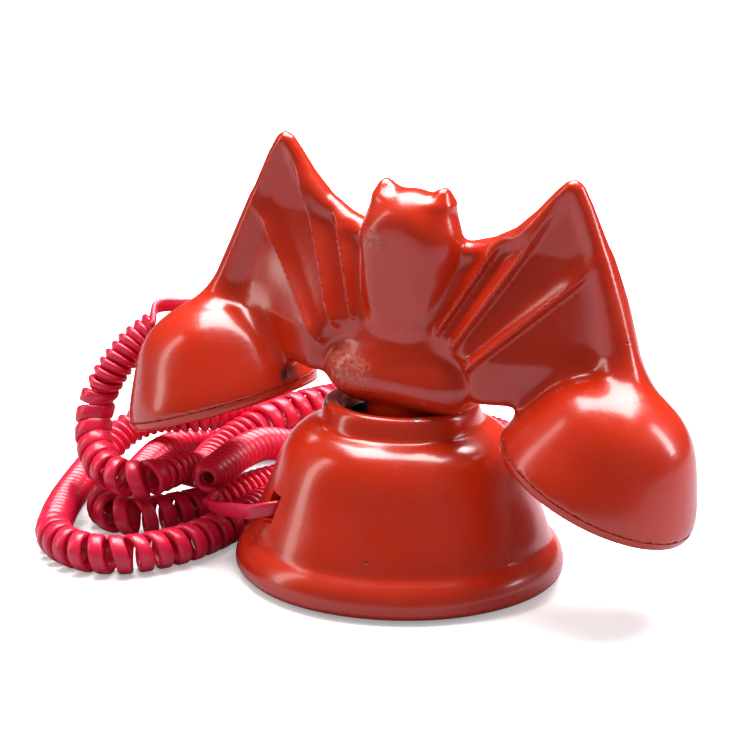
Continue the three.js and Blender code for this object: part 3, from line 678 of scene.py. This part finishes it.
@dataclass(frozen=True)
class Cup:
    """One end of the handset: a pinched dome with a flat, slanting mouth."""

    centre: tuple = (63.0, -1.0, 40.0)
    radii: tuple = (31.5, 28.5, 33.5)
    tilt: float = math.radians(22)
    pinch: float = 0.07
    wall: float = 3.5
    lip: float = 2.6

    def local(self, x: Array, y: Array, z: Array) -> tuple[Array, Array, Array]:
        """Coordinates in the cup's own frame, with its axis along Z."""
        dx, dy, dz = x - self.centre[0], y - self.centre[1], z - self.centre[2]
        c, s = math.cos(self.tilt), math.sin(self.tilt)
        return dx * c - dz * s, dy, dx * s + dz * c

    def field(self, x: Array, y: Array, z: Array, shrink: float = 0.0) -> Array:
        """Distance to the dome, with its sides drawn in towards the top."""
        lx, ly, lz = self.local(x, y, z)
        a, b, c = (r - shrink for r in self.radii)
        height = np.clip(lz / c, 0, 1)
        narrow = 1 - self.pinch * np.sin(math.pi * height) ** 2
        return ellipsoid(lx / narrow, ly / narrow, lz, (a, b, c)) * STEEPEST


@dataclass(frozen=True)
class Rib:
    """A pleat on the wing's front, from top to foot in X and Z: it rises gently and drops at its crest."""

    top: tuple
    foot: tuple
    top_width: float
    foot_width: float
    height: float
    drop: float = 1.2

    def relief(self, x: Array, z: Array) -> Array:
        """Height of the pleat over the panel."""
        length = math.dist(self.top, self.foot)
        dx, dz = (self.foot[0] - self.top[0]) / length, (self.foot[1] - self.top[1]) / length
        along = ((x - self.top[0]) * dx + (z - self.top[1]) * dz) / length
        across = (self.top[0] - x) * dz + (z - self.top[1]) * dx
        ends = smoothstep(0.0, 0.26, along) * smoothstep(1.0, 0.93, along)
        width = self.top_width + (self.foot_width - self.top_width) * np.clip(along, 0, 1)
        rise = np.clip(1 + across / width, 0, 1)
        rise = rise * (0.4 + 0.6 * rise)
        return self.height * ends * np.where(across < 0, rise, smoothstep(self.drop, 0.0, across))


@dataclass(frozen=True)
class WingSizes:
    """Outline and relief of one wing, in millimetres."""

    upper: tuple = (
        (0, 103.0), (10, 103.5), (17, 105.4), (24, 107.8), (31, 111.9), (37, 117.9), (42, 124.2),
        (45.4, 127.8), (48.2, 128.8), (50.8, 127.0), (53.8, 121.4), (56.8, 114.2), (59.9, 106.8),
        (63.2, 97.6), (66.5, 88.0), (69.6, 78.6), (72.7, 71.0), (74, 66.0),
    )
    lower: tuple = ((0, 62.0), (16, 60.6), (26, 59.8), (38, 60.2), (46, 58.0), (74, 56.0))
    ribs: tuple = (
        Rib((28.2, 109.0), (13.4, 78.0), 5.5, 2.2, 3.2),
        Rib((44.4, 121.5), (19.0, 74.5), 9.0, 2.6, 4.0),
        Rib((58.6, 105.8), (23.0, 69.0), 7.5, 2.4, 3.6),
    )
    rim: tuple = (1.8, 7.5)
    panel: float = 1.9
    # Where the cup takes over and the panel's sinking fades out, along X and Z.
    panel_end_x: tuple = (44.0, 56.0)
    panel_end_z: tuple = (82.0, 68.0)
    outer_end: float = 74.0
    # The front: Y at the root's top, how it leans back below that, and Y at the tip.
    root_y: float = -2.0
    root_lean: float = 0.4
    root_lean_from: float = 105.0
    root_lean_over: float = 31.0
    tip_y: float = 1.2
    sweep: tuple = (24.0, 66.0)
    # The hollow behind the log.
    recess: float = 7.0
    recess_x: tuple = (29.0, 16.0)
    recess_z: tuple = (80.0, 66.0)
    root_thickness: float = 9.4
    tip_thickness: float = 6.2
    thinning_z: tuple = (100.0, 128.0)
    cup_thickness: float = 1.8
    cup_thickness_x: tuple = (52.0, 66.0)
    cup_thickness_z: tuple = (116.0, 92.0)
    edge_round: float = 4.2
    # The ridge down the outer edge: X, Y, Z and radius.
    spine: tuple = (
        (56.0, 5.0, 104.0, 2.6), (60.6, 5.2, 92.0, 3.8), (65.2, 4.0, 79.0, 4.6), (70.2, 1.5, 65.0, 7.0),
        (75.0, -2.5, 52.0, 10.5),
    )


@dataclass(frozen=True)
class MiddleSizes:
    """Head, belly, log and spigot between the wings, in millimetres."""

    body: tuple = (14.0, 12.8, 27.0)
    body_y: float = -3.4
    body_z: float = 91.5
    crown: tuple = (15.4, 12.6, 14.2)
    crown_y: float = -3.6
    crown_z: float = 104.5
    # The flat front: its Y at the height of widen_z, and how it leans.
    front_y: float = -13.4
    front_lean: float = 0.10
    widen_z: float = 92.0
    widen_over: float = 26.0
    belly_end: float = 74.5
    ear_x: float = 9.3
    ear_y: float = -3.2
    ear_lean: float = 0.12
    ear_lean_z: float = 117.0
    ear_apex: float = 121.6
    ear_slope: float = 0.8
    ear_widest: float = 4.2
    ear_foot: float = 112.0
    ear_top: float = 121.2
    log: tuple = (25.4, 14.2, 10.9)
    log_y: float = -1.9
    log_z: float = 62.7
    saddle: tuple = (21.5, 10.0, 9.0)
    saddle_y: float = -2.8
    saddle_z: float = 70.5
    spigot_radius: float = 12.0
    spigot: tuple = (46.0, 62.0)


def ellipsoid(x: Array, y: Array, z: Array, radii: Sequence[float]) -> Array:
    """Distance to an ellipsoid round the origin, close to true near its surface."""
    a, b, c = radii
    k0 = np.sqrt((x / a) ** 2 + (y / b) ** 2 + (z / c) ** 2)
    k1 = np.sqrt((x / a**2) ** 2 + (y / b**2) ** 2 + (z / c**2) ** 2)
    return k0 * (k0 - 1) / np.maximum(k1, 1e-6)


def to_segment(x: Array, y: Array, start: Sequence[float], end: Sequence[float]) -> Array:
    """Distance to a segment in a plane."""
    dx, dy = end[0] - start[0], end[1] - start[1]
    t = np.clip(((x - start[0]) * dx + (y - start[1]) * dy) / (dx * dx + dy * dy), 0, 1)
    return np.hypot(x - start[0] - t * dx, y - start[1] - t * dy)


class HandsetCasting:
    """The one-piece handset: two pleated wings, a hooded head with two small ears, a log and two cups."""

    LOW = (-102.0, -40.0, 24.0)
    HIGH = (102.0, 40.0, 134.0)
    # Cup and hollow are only looked for this far out along X.
    CUPS_FROM = 26.0
    # The wing's top and bottom are each resampled to this many points.
    OUTLINE_POINTS = 160
    WEAR = {
        "rough": [((-16, -13, 65), 8.5), ((-9, -14, 64), 6.0), ((-7.5, -14.5, 105), 4.5), ((60, 1, 68), 7.0)],
        # Dark places: the first three are a scuff by the transmitter cup; the last, round the spigot in the
        # well, is painted shade.
        "scuff_and_shade": [((-37, -7, 55), 5.0), ((-37, -9, 50), 4.0), ((-42, -10, 50), 3.0), ((0, 0, 44), 15.0)],
        "chip": [
            ((-27, -6, 110), 1.6), ((43, -24, 44), 1.8), ((-90, -6, 42), 1.6), ((84, -21, 22), 1.5),
            ((78, -24, 24), 1.4),
        ],
    }

    def __init__(
        self, cup: Cup, wing: WingSizes, middle: MiddleSizes, voxel: float, paint: bpy.types.Material
    ) -> None:
        """Prepares the casting.

        Args:
            cup: the cups' sizes.
            wing: the wings' sizes.
            middle: sizes of the head, belly and log.
            voxel: the grid step in millimetres.
            paint: its finish.
        """
        self.cup, self.wing, self.middle, self.voxel, self.paint = cup, wing, middle, voxel, paint
        self.low, self.high = np.array(self.LOW), np.array(self.HIGH)

    def outline(self, x: Array, z: Array) -> Array:
        """Signed distance to the wing's outline in the XZ plane, negative inside."""
        upper, lower = np.array(self.wing.upper, float), np.array(self.wing.lower, float)
        share, own = np.linspace(0, 1, self.OUTLINE_POINTS), np.linspace(0, 1, len(upper))
        top = np.stack([np.interp(share, own, upper[:, k]) for k in (0, 1)], axis=1)
        out = np.linspace(0, self.wing.outer_end, self.OUTLINE_POINTS)
        low = np.stack([out, np.interp(out, lower[:, 0], lower[:, 1])], axis=1)
        distance = np.full(x.shape, np.inf)
        for line in (top, low):
            for start, end in zip(line[:-1], line[1:]):
                distance = np.minimum(distance, to_segment(x, z, start, end))
        below = z < np.interp(x, upper[:, 0], upper[:, 1])
        above = z > np.interp(x, lower[:, 0], lower[:, 1])
        return np.where(below & above & (x < self.wing.outer_end), -distance, distance)

    def relief(self, x: Array, z: Array) -> Array:
        """How far the wing's front stands out: sunk panels inside the rim, with pleats on them."""
        upper = self.wing.upper
        edge = np.min([to_segment(x, z, a, b) for a, b in zip(upper[:-1], upper[1:])], axis=0)
        panel = -self.wing.panel * smoothstep(*self.wing.rim, edge)
        pleats = [rib.relief(x, z) for rib in self.wing.ribs]
        by_cup = smoothstep(*self.wing.panel_end_x, x) * smoothstep(*self.wing.panel_end_z, z)
        return panel * (1 - by_cup) + np.max(pleats, axis=0)

    def wing_field(self, x: Array, y: Array, z: Array) -> Array:
        """Distance to one wing, a curved slab within its outline."""
        wing = self.wing
        flat_x, flat_z = x[:, 0, :], z[:, 0, :]
        edge = self.outline(flat_x, flat_z)
        root = wing.root_y - wing.root_lean * np.clip(wing.root_lean_from - flat_z, 0, wing.root_lean_over)
        near, far = wing.sweep
        out = np.clip((flat_x - near) / (far - near), 0, 1)
        out = 0.5 * out + 0.5 * smoothstep(0.0, 1.0, out)
        front = root * (1 - out) + wing.tip_y * out
        front += wing.recess * smoothstep(*wing.recess_x, flat_x) * smoothstep(*wing.recess_z, flat_z)
        thinner = wing.tip_thickness - wing.root_thickness
        thickness = wing.root_thickness + thinner * smoothstep(*wing.thinning_z, flat_z)
        by_cup = smoothstep(*wing.cup_thickness_x, flat_x) * smoothstep(*wing.cup_thickness_z, flat_z)
        back = front + thickness + wing.cup_thickness * by_cup
        front = front - self.relief(flat_x, flat_z)
        slab = STEEPEST * np.maximum(front[:, None, :] - y, y - back[:, None, :])
        return smooth_max(slab, np.broadcast_to(edge[:, None, :], slab.shape), wing.edge_round)

    def torso_field(self, x: Array, y: Array, z: Array) -> Array:
        """Distance to the head and belly, with two small ears."""
        m = self.middle
        t = np.clip((z - m.widen_z) / m.widen_over, -1, 1)
        widen = 1 + 0.3 * t + 0.04 * t * t
        body = ellipsoid(x / widen, (y - m.body_y) / (1 + 0.06 * t), z - m.body_z, m.body)
        crown = ellipsoid(x, y - m.crown_y, z - m.crown_z, m.crown)
        body = smooth_min(body, crown, 3.0)
        front = m.front_y - y - m.front_lean * (z - m.widen_z)
        body = smooth_max(body, front, 2.0)
        body = smooth_max(body, m.belly_end - z, 2.0)
        axis_x = x - (m.ear_x + m.ear_lean * (z - m.ear_lean_z))
        across = np.hypot(np.where(axis_x < 0, axis_x * 0.9, axis_x * 1.25), (y - m.ear_y) * 0.85)
        ear = 0.7 * (across - np.minimum((m.ear_apex - z) * m.ear_slope, m.ear_widest))
        ear = smooth_max(ear, m.ear_foot - z, 1.0) - 0.6
        ear = smooth_max(ear, z - m.ear_top, 1.4)
        return smooth_min(body, ear, 2.4)

    def spine_field(self, x: Array, y: Array, z: Array) -> Array:
        """Distance to the ridge that carries a wing's outer edge down over its cup."""
        spine = self.wing.spine
        distance = np.full(x.shape, np.inf)
        for (ax, ay, az, ar), (bx, by, bz, br) in zip(spine[:-1], spine[1:]):
            dx, dy, dz = bx - ax, by - ay, bz - az
            t = np.clip(((x - ax) * dx + (y - ay) * dy + (z - az) * dz) / (dx * dx + dy * dy + dz * dz), 0, 1)
            near = np.sqrt((x - ax - t * dx) ** 2 + (y - ay - t * dy) ** 2 + (z - az - t * dz) ** 2)
            distance = np.minimum(distance, near - (ar + (br - ar) * t))
        return distance

    def field(self) -> Array:
        """The whole casting's distance field, hollow cups included."""
        axes = [np.arange(a, b, self.voxel) for a, b in zip(self.low, self.high)]
        x, y, z = np.meshgrid(*axes, indexing="ij")
        half = np.abs(x)
        m = self.middle
        barrel = half * half / m.log[0]
        log = 0.8 * ellipsoid(barrel, y - m.log_y, z - m.log_z, m.log)
        saddle = ellipsoid(half, y - m.saddle_y, z - m.saddle_z, m.saddle)
        middle = smooth_min(self.torso_field(half, y, z), smooth_min(saddle, log, 2.4), 1.0)
        shape = smooth_min(self.wing_field(half, y, z), middle, 3.0)
        cup = smooth_min(self.cup.field(half, y, z), self.spine_field(half, y, z), 6.0)
        shape = smooth_min(shape, cup, 4.5)
        bottom, top = m.spigot
        spigot = np.maximum(np.hypot(x, y) - m.spigot_radius, np.maximum(bottom - z, z - top))
        shape = smooth_min(shape, spigot, 1.0)
        _, _, lz = self.cup.local(half, y, z)
        near_cup = half > self.CUPS_FROM
        shape = np.where(near_cup, np.maximum(shape, self.cup.lip - lz), shape)
        hollow = smooth_max(self.cup.field(half, y, z, self.cup.wall), -6.0 - lz, 0.5)
        return np.maximum(shape, -np.where(near_cup, hollow, 50.0))

    def flatten_lips(self, points: Array) -> None:
        """Draws the points at a cup's mouth onto the plane of its lip, so that the edge is crisp."""
        half = np.abs(points[:, 0])
        _, _, lz = self.cup.local(half, points[:, 1], points[:, 2])
        at_mouth = (half > self.CUPS_FROM) & (lz < self.cup.lip + 0.6 * self.voxel)
        drop = np.where(at_mouth, lz - self.cup.lip, 0.0)
        points[:, 0] -= np.sign(points[:, 0]) * drop * math.sin(self.cup.tilt)
        points[:, 2] -= drop * math.cos(self.cup.tilt)

    def marks(self, piece: bpy.types.Object, points: Array) -> None:
        """Stores where the paint is rough, scuffed dark, darkened as painted shade in the well, or chipped,
        as point attributes of the upright points.
        """
        for name, places in self.WEAR.items():
            marked(piece, name, points, places)

    def build(self) -> bpy.types.Object:
        """Makes the casting's mesh from its distance field."""
        grid = vdb.FloatGrid(background=BAND)
        grid.copyFromArray(np.clip(self.field(), -BAND, BAND).astype(np.float32))
        points, quads = grid.convertToQuads(isovalue=0.0)
        points = points * self.voxel + self.low
        self.flatten_lips(points)
        piece = mesh_object("handset_casting", Seat().placed(points), quads, self.paint)
        outward(piece)
        self.marks(piece, points)
        return finished(piece, "handset", "paint", "handset_body", "capsule_lead")


class CupCap:
    """The thin cover over a cup's mouth, with its holes and two screw recesses."""

    AROUND = 128
    # Share of the cup's radii and height, from the middle of the outer face round the edge to the inner face.
    PROFILE = (
        (0.5, 0.0), (0.96, 0.0), (0.978, 0.3), (0.987, 0.9), (0.99, 1.7), (0.99, 2.52), (0.5, 2.52),
    )
    HOLE_RADIUS = 1.2
    SCREW_X = 24.3
    SCREW_HOLE = 1.3
    SCREW_HEAD = 2.5
    # Tools reach from below the cap to above it, and to the floor of a screw's recess.
    BELOW, ABOVE, RECESS = -2.0, 4.0, 1.5
    PEG_SIDES = 24

    def __init__(
        self, end: Handset, cup: Cup, rings: Sequence[tuple[int, float]], paint: bpy.types.Material
    ) -> None:
        """Prepares the cap.

        Args:
            end: which cup it closes.
            cup: the cup's sizes.
            rings: count and radius of each ring of holes.
            paint: its finish.
        """
        self.end, self.cup, self.rings, self.paint = end, cup, rings, paint

    def placed(self, points: Array) -> Array:
        """Points of the cup's own frame in the part's frame."""
        c, s = math.cos(self.cup.tilt), math.sin(self.cup.tilt)
        x = points[:, 0] * c + points[:, 2] * s + self.cup.centre[0]
        y = points[:, 1] + self.cup.centre[1]
        z = -points[:, 0] * s + points[:, 2] * c + self.cup.centre[2]
        return Seat().placed(np.stack([x * self.end.value, y, z], axis=1))

    def peg(self, x: float, y: float, radius: float, top: float) -> bpy.types.Object:
        """A closed round tool for cutting a hole from the outer face up to a height."""
        count = self.PEG_SIDES
        angles = np.linspace(0, 2 * math.pi, count, endpoint=False)
        rim = np.stack([x + radius * np.cos(angles), y + radius * np.sin(angles)], 1)
        rings = [np.column_stack([rim, np.full(count, h)]) for h in (self.BELOW, top)]
        ends = [tuple(range(count)), tuple(range(count, 2 * count))[::-1]]
        faces = lathe_faces(2, count, closed=False) + ends
        tool = mesh_object("peg", self.placed(np.vstack(rings)), faces, self.paint)
        outward(tool)
        return tool

    def build(self) -> bpy.types.Object:
        """Makes the cap."""
        around, (a, b, _) = self.AROUND, self.cup.radii
        angles = np.linspace(0, 2 * math.pi, around, endpoint=False)
        rings = [
            np.column_stack([a * r * np.cos(angles), b * r * np.sin(angles), np.full(around, h)])
            for r, h in self.PROFILE
        ]
        middles = [[0, 0, self.PROFILE[0][1]], [0, 0, self.PROFILE[-1][1]]]
        points = np.vstack([*rings, middles])
        faces = lathe_faces(len(rings), around, closed=False)
        bottom, top = len(points) - 2, len(points) - 1
        first = (len(rings) - 1) * around
        for j in range(around):
            faces.append((bottom, (j + 1) % around, j))
            faces.append((top, first + j, first + (j + 1) % around))
        end = self.end.name.lower()
        piece = mesh_object(f"{end}_cover", self.placed(points), faces, self.paint)
        outward(piece)
        carved(piece, *self.sound_holes(), *self.screw_holes())
        return finished(piece, "handset", "paint", f"{end}_cap")

    def sound_holes(self) -> list[bpy.types.Object]:
        """Tools for the rings of holes."""
        tools = []
        for count, radius in self.rings:
            for i in range(count):
                angle = 2 * math.pi * i / count
                x, y = radius * math.cos(angle), radius * math.sin(angle)
                tools.append(self.peg(x, y, self.HOLE_RADIUS, self.ABOVE))
        return tools

    def screw_holes(self) -> list[bpy.types.Object]:
        """Tools for the two screws: a hole right through and a recess for the head."""
        tools = []
        for side in (-1, 1):
            tools.append(self.peg(side * self.SCREW_X, 0, self.SCREW_HOLE, self.ABOVE))
            tools.append(self.peg(side * self.SCREW_X, 0, self.SCREW_HEAD, self.RECESS))
        return tools


# --------------------------------------------------------------------------- base casting
@dataclass(frozen=True)
class BaseProfile:
    """Radius and height along the bell, outside then inside, in millimetres."""

    outside: tuple = (
        (46.4, 0.6), (48.3, 1.2), (49.6, 2.6), (50.0, 4.4), (49.7, 6.6), (48.9, 8.8), (47.4, 10.9),
        (46.2, 12.0), (45.6, 13.0), (45.1, 14.6), (44.2, 17.2), (42.7, 21.0), (40.8, 25.6),
        (38.9, 30.6), (37.2, 35.2), (35.5, 38.9), (33.6, 41.8), (31.2, 44.2), (28.6, 45.9),
        (26.2, 46.9), (25.0, 47.6), (24.5, 48.6), (24.1, 50.2), (23.6, 52.0), (23.2, 53.0),
        (22.5, 53.8), (21.6, 54.0),
    )
    inside: tuple = (
        (20.2, 53.9), (19.2, 53.4), (18.7, 52.6), (18.7, 41.0), (24.0, 41.0), (30.0, 39.5),
        (34.6, 31.0), (39.4, 20.0), (41.8, 13.5), (43.9, 9.0), (43.9, 0.6),
    )


class BaseCasting:
    """The bell-shaped base: turned shell, a slot for the cord at the side and a socket notch at the back."""

    AROUND = 240
    STEP = 1.1
    # Each opening's angle in degrees, its tool's size, and the tool's middle: distance out and height.
    CORD_SLOT = (231, (16, 6.6, 8.4), 41, 24)
    SOCKET_NOTCH = (90, (20, 13.6, 11.6), 44, 12.5)
    WEAR = [((-19, -14, 53.5), 3.2), ((-21.5, -9, 53.5), 2.2), ((14, -17, 53.8), 1.6)]

    def __init__(self, profile: BaseProfile, paint: bpy.types.Material) -> None:
        """Prepares the base.

        Args:
            profile: its outline.
            paint: its finish.
        """
        self.profile, self.paint = profile, paint

    def block(self, angle: float, size: Sequence[float], x: float, z: float) -> bpy.types.Object:
        """A closed box tool, reaching outwards at an angle in degrees."""
        signs = np.array(list(itertools.product((-1, 1), repeat=3)))
        corners = signs * np.array(size) / 2 + np.array([x, 0, z])
        c, s = math.cos(math.radians(angle)), math.sin(math.radians(angle))
        corners = corners @ np.array([[c, s, 0], [-s, c, 0], [0, 0, 1.0]])
        faces = [(0, 1, 3, 2), (4, 6, 7, 5), (0, 4, 5, 1), (2, 3, 7, 6), (0, 2, 6, 4), (1, 5, 7, 3)]
        tool = mesh_object("block", corners, faces, self.paint)
        outward(tool)
        return tool

    def build(self) -> bpy.types.Object:
        """Makes the base."""
        around = self.AROUND
        outside = smooth_profile(self.profile.outside, self.STEP)
        profile = np.vstack([outside, np.array(self.profile.inside, float)])
        angles = np.linspace(0, 2 * math.pi, around, endpoint=False)
        rings = []
        for i, (r, z) in enumerate(profile):
            by_hand = 0.12 * np.sin(3 * angles + 0.05 * z) + 0.08 * np.sin(7 * angles - 0.1 * z + 1.0)
            radius = r + by_hand if i < len(outside) else np.full(around, r)
            x, y = radius * np.cos(angles), radius * np.sin(angles)
            rings.append(np.column_stack([x, y, np.full(around, z)]))
        faces = lathe_faces(len(profile), around, closed=True)
        piece = mesh_object("base_casting", np.vstack(rings), faces, self.paint)
        outward(piece)
        carved(piece, self.block(*self.CORD_SLOT), self.block(*self.SOCKET_NOTCH))
        points = np.array([v.co for v in piece.data.vertices]) / MM
        marked(piece, "chip", points, self.WEAR, core=0.4)
        return finished(piece, "base", "paint", "base_shell")


def smooth_profile(points: Sequence[Sequence[float]], step: float) -> Array:
    """A lathe profile resampled along a smooth curve."""
    flat = np.array([(r, z, 0.0) for r, z in points])
    return catmull_rom(flat, step)[:, :2]


# --------------------------------------------------------------------------- studio
@dataclass(frozen=True)
class Softbox:
    """A rectangular studio light aimed at the object."""

    name: str
    place: tuple
    aim: tuple
    size: tuple
    power: float
    colour: str = "#ffffff"

    def build(self) -> None:
        """Adds the light."""
        data = bpy.data.lights.new(self.name, "AREA")
        data.shape, data.size, data.size_y = "RECTANGLE", *self.size
        data.energy, data.color = self.power, linear(self.colour)[:3]
        lamp = bpy.data.objects.new(self.name, data)
        bpy.context.scene.collection.objects.link(lamp)
        lamp.location = self.place
        lamp.rotation_mode = "QUATERNION"
        lamp.rotation_quaternion = (Vector(self.aim) - Vector(self.place)).to_track_quat("-Z", "Y")


class Studio:
    """Camera, lights, pale surroundings and floor."""

    CAMERA = (0.3576, -0.6782, 0.2798)
    FORWARD = (-0.4608, 0.8450, -0.2716)
    ROLL = 0.015
    LENS = 130.5
    # How bright the room is to the camera, as light, and as mirrored by the paint.
    ROOM_SEEN = 1.1
    ROOM_LIGHT = 0.4
    ROOM_MIRRORED = 0.07
    # Extra brightness the camera sees on the floor, so that it runs into the room without an edge.
    FLOOR_LIFT = 0.3
    # The floor as the object mirrors it and is lit by it, darker than the camera sees it.
    FLOOR_BOUNCE = "#9c9ca4"
    # Half the floor's side, in millimetres like every mesh.
    FLOOR_HALF = 1000.0
    LIGHTS = (
        Softbox("top", (-0.1, 0.3, 1.1), (0, 0, 0.05), (1.15, 0.8), 38.0),
        Softbox("left strip", (-1.0, -0.5, 0.5), (0, 0, 0.06), (0.2, 0.95), 2.6, "#fff8f2"),
        Softbox("right", (0.95, 0.45, 0.6), (0, 0, 0.06), (0.22, 0.7), 6.0, "#f6f8ff"),
    )

    def camera(self) -> None:
        """Places the camera."""
        data = bpy.data.cameras.new("camera")
        data.lens, data.sensor_width, data.clip_start = self.LENS, 36.0, 0.01
        camera = bpy.data.objects.new("camera", data)
        bpy.context.scene.collection.objects.link(camera)
        forward = Vector(self.FORWARD).normalized()
        right = forward.cross(Vector((0, 0, 1))).normalized()
        up = right.cross(forward)
        c, s = math.cos(self.ROLL), math.sin(self.ROLL)
        right, up = right * c + up * s, up * c - right * s
        turn = Matrix((right, up, -forward)).transposed()
        camera.matrix_world = Matrix.Translation(self.CAMERA) @ turn.to_4x4()
        bpy.context.scene.camera = camera

    def surroundings(self) -> None:
        """Pale world, soft lights and a white floor."""
        scene = bpy.context.scene
        scene.view_settings.view_transform = "Standard"
        world = bpy.data.worlds.new("pale_room")
        scene.world = world
        world.use_nodes = True
        background = world.node_tree.nodes["Background"]
        background.inputs["Color"].default_value = linear("#ffffff")
        ray = add_node(world.node_tree, "ShaderNodeLightPath").outputs
        inputs = {"Value": ray["Is Glossy Ray"], 3: self.ROOM_LIGHT, 4: self.ROOM_MIRRORED}
        dim = add_node(world.node_tree, "ShaderNodeMapRange", inputs).outputs["Result"]
        inputs = {"Value": ray["Is Camera Ray"], 3: dim, 4: self.ROOM_SEEN}
        strength = add_node(world.node_tree, "ShaderNodeMapRange", inputs).outputs["Result"]
        world.node_tree.links.new(strength, background.inputs["Strength"])
        for light in self.LIGHTS:
            light.build()
        paper = Finish("white_paper", Roughness=0.9, Specular_IOR_Level=0.1)
        seen = add_node(paper.tree, "ShaderNodeLightPath").outputs["Is Camera Ray"]
        colour = paper.mix(seen, linear(self.FLOOR_BOUNCE), linear("#fafafa"))
        paper.shader.inputs["Emission Color"].default_value = linear("#ffffff")
        glow = paper.math("MULTIPLY", seen, self.FLOOR_LIFT)
        material = paper.set(Base_Color=colour, Emission_Strength=glow)
        half = self.FLOOR_HALF
        corners = [(-half, -half, 0), (half, -half, 0), (half, half, 0), (-half, half, 0)]
        mesh_object("floor", np.array(corners, float), [(0, 1, 2, 3)], material)


# --------------------------------------------------------------------------- assembly
def cord_mouth() -> Array:
    """Where the cord goes into the transmitter's cup, at the mouth of its rubber sleeve."""
    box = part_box("cord_grommet")
    low, high = (np.array(corner) / MM for corner in box)
    return np.array([low[0] * 0.45 + high[0] * 0.55, high[1] - 1.6, high[2] - 2.6])


def main() -> None:
    """Builds the scene."""
    logging.basicConfig(level=logging.INFO, format="%(name)s: %(message)s")
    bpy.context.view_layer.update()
    studio = Studio()
    studio.camera()
    finishes = Finishes()
    finishes.dress_frame()
    paint = finishes.by_slot["paint"]
    cup = Cup()
    CurlyCord(CordSizes(), cord_mouth(), finishes.by_slot["cord"]).build()
    voxel = 0.8
    HandsetCasting(cup, WingSizes(), MiddleSizes(), voxel, paint).build()
    CupCap(Handset.TRANSMITTER, cup, ((6, 7.0), (1, 0.0)), paint).build()
    CupCap(Handset.RECEIVER, cup, ((8, 9.0), (4, 4.0)), paint).build()
    BaseCasting(BaseProfile(), paint).build()
    studio.surroundings()


if __name__ == "__main__":
    main()
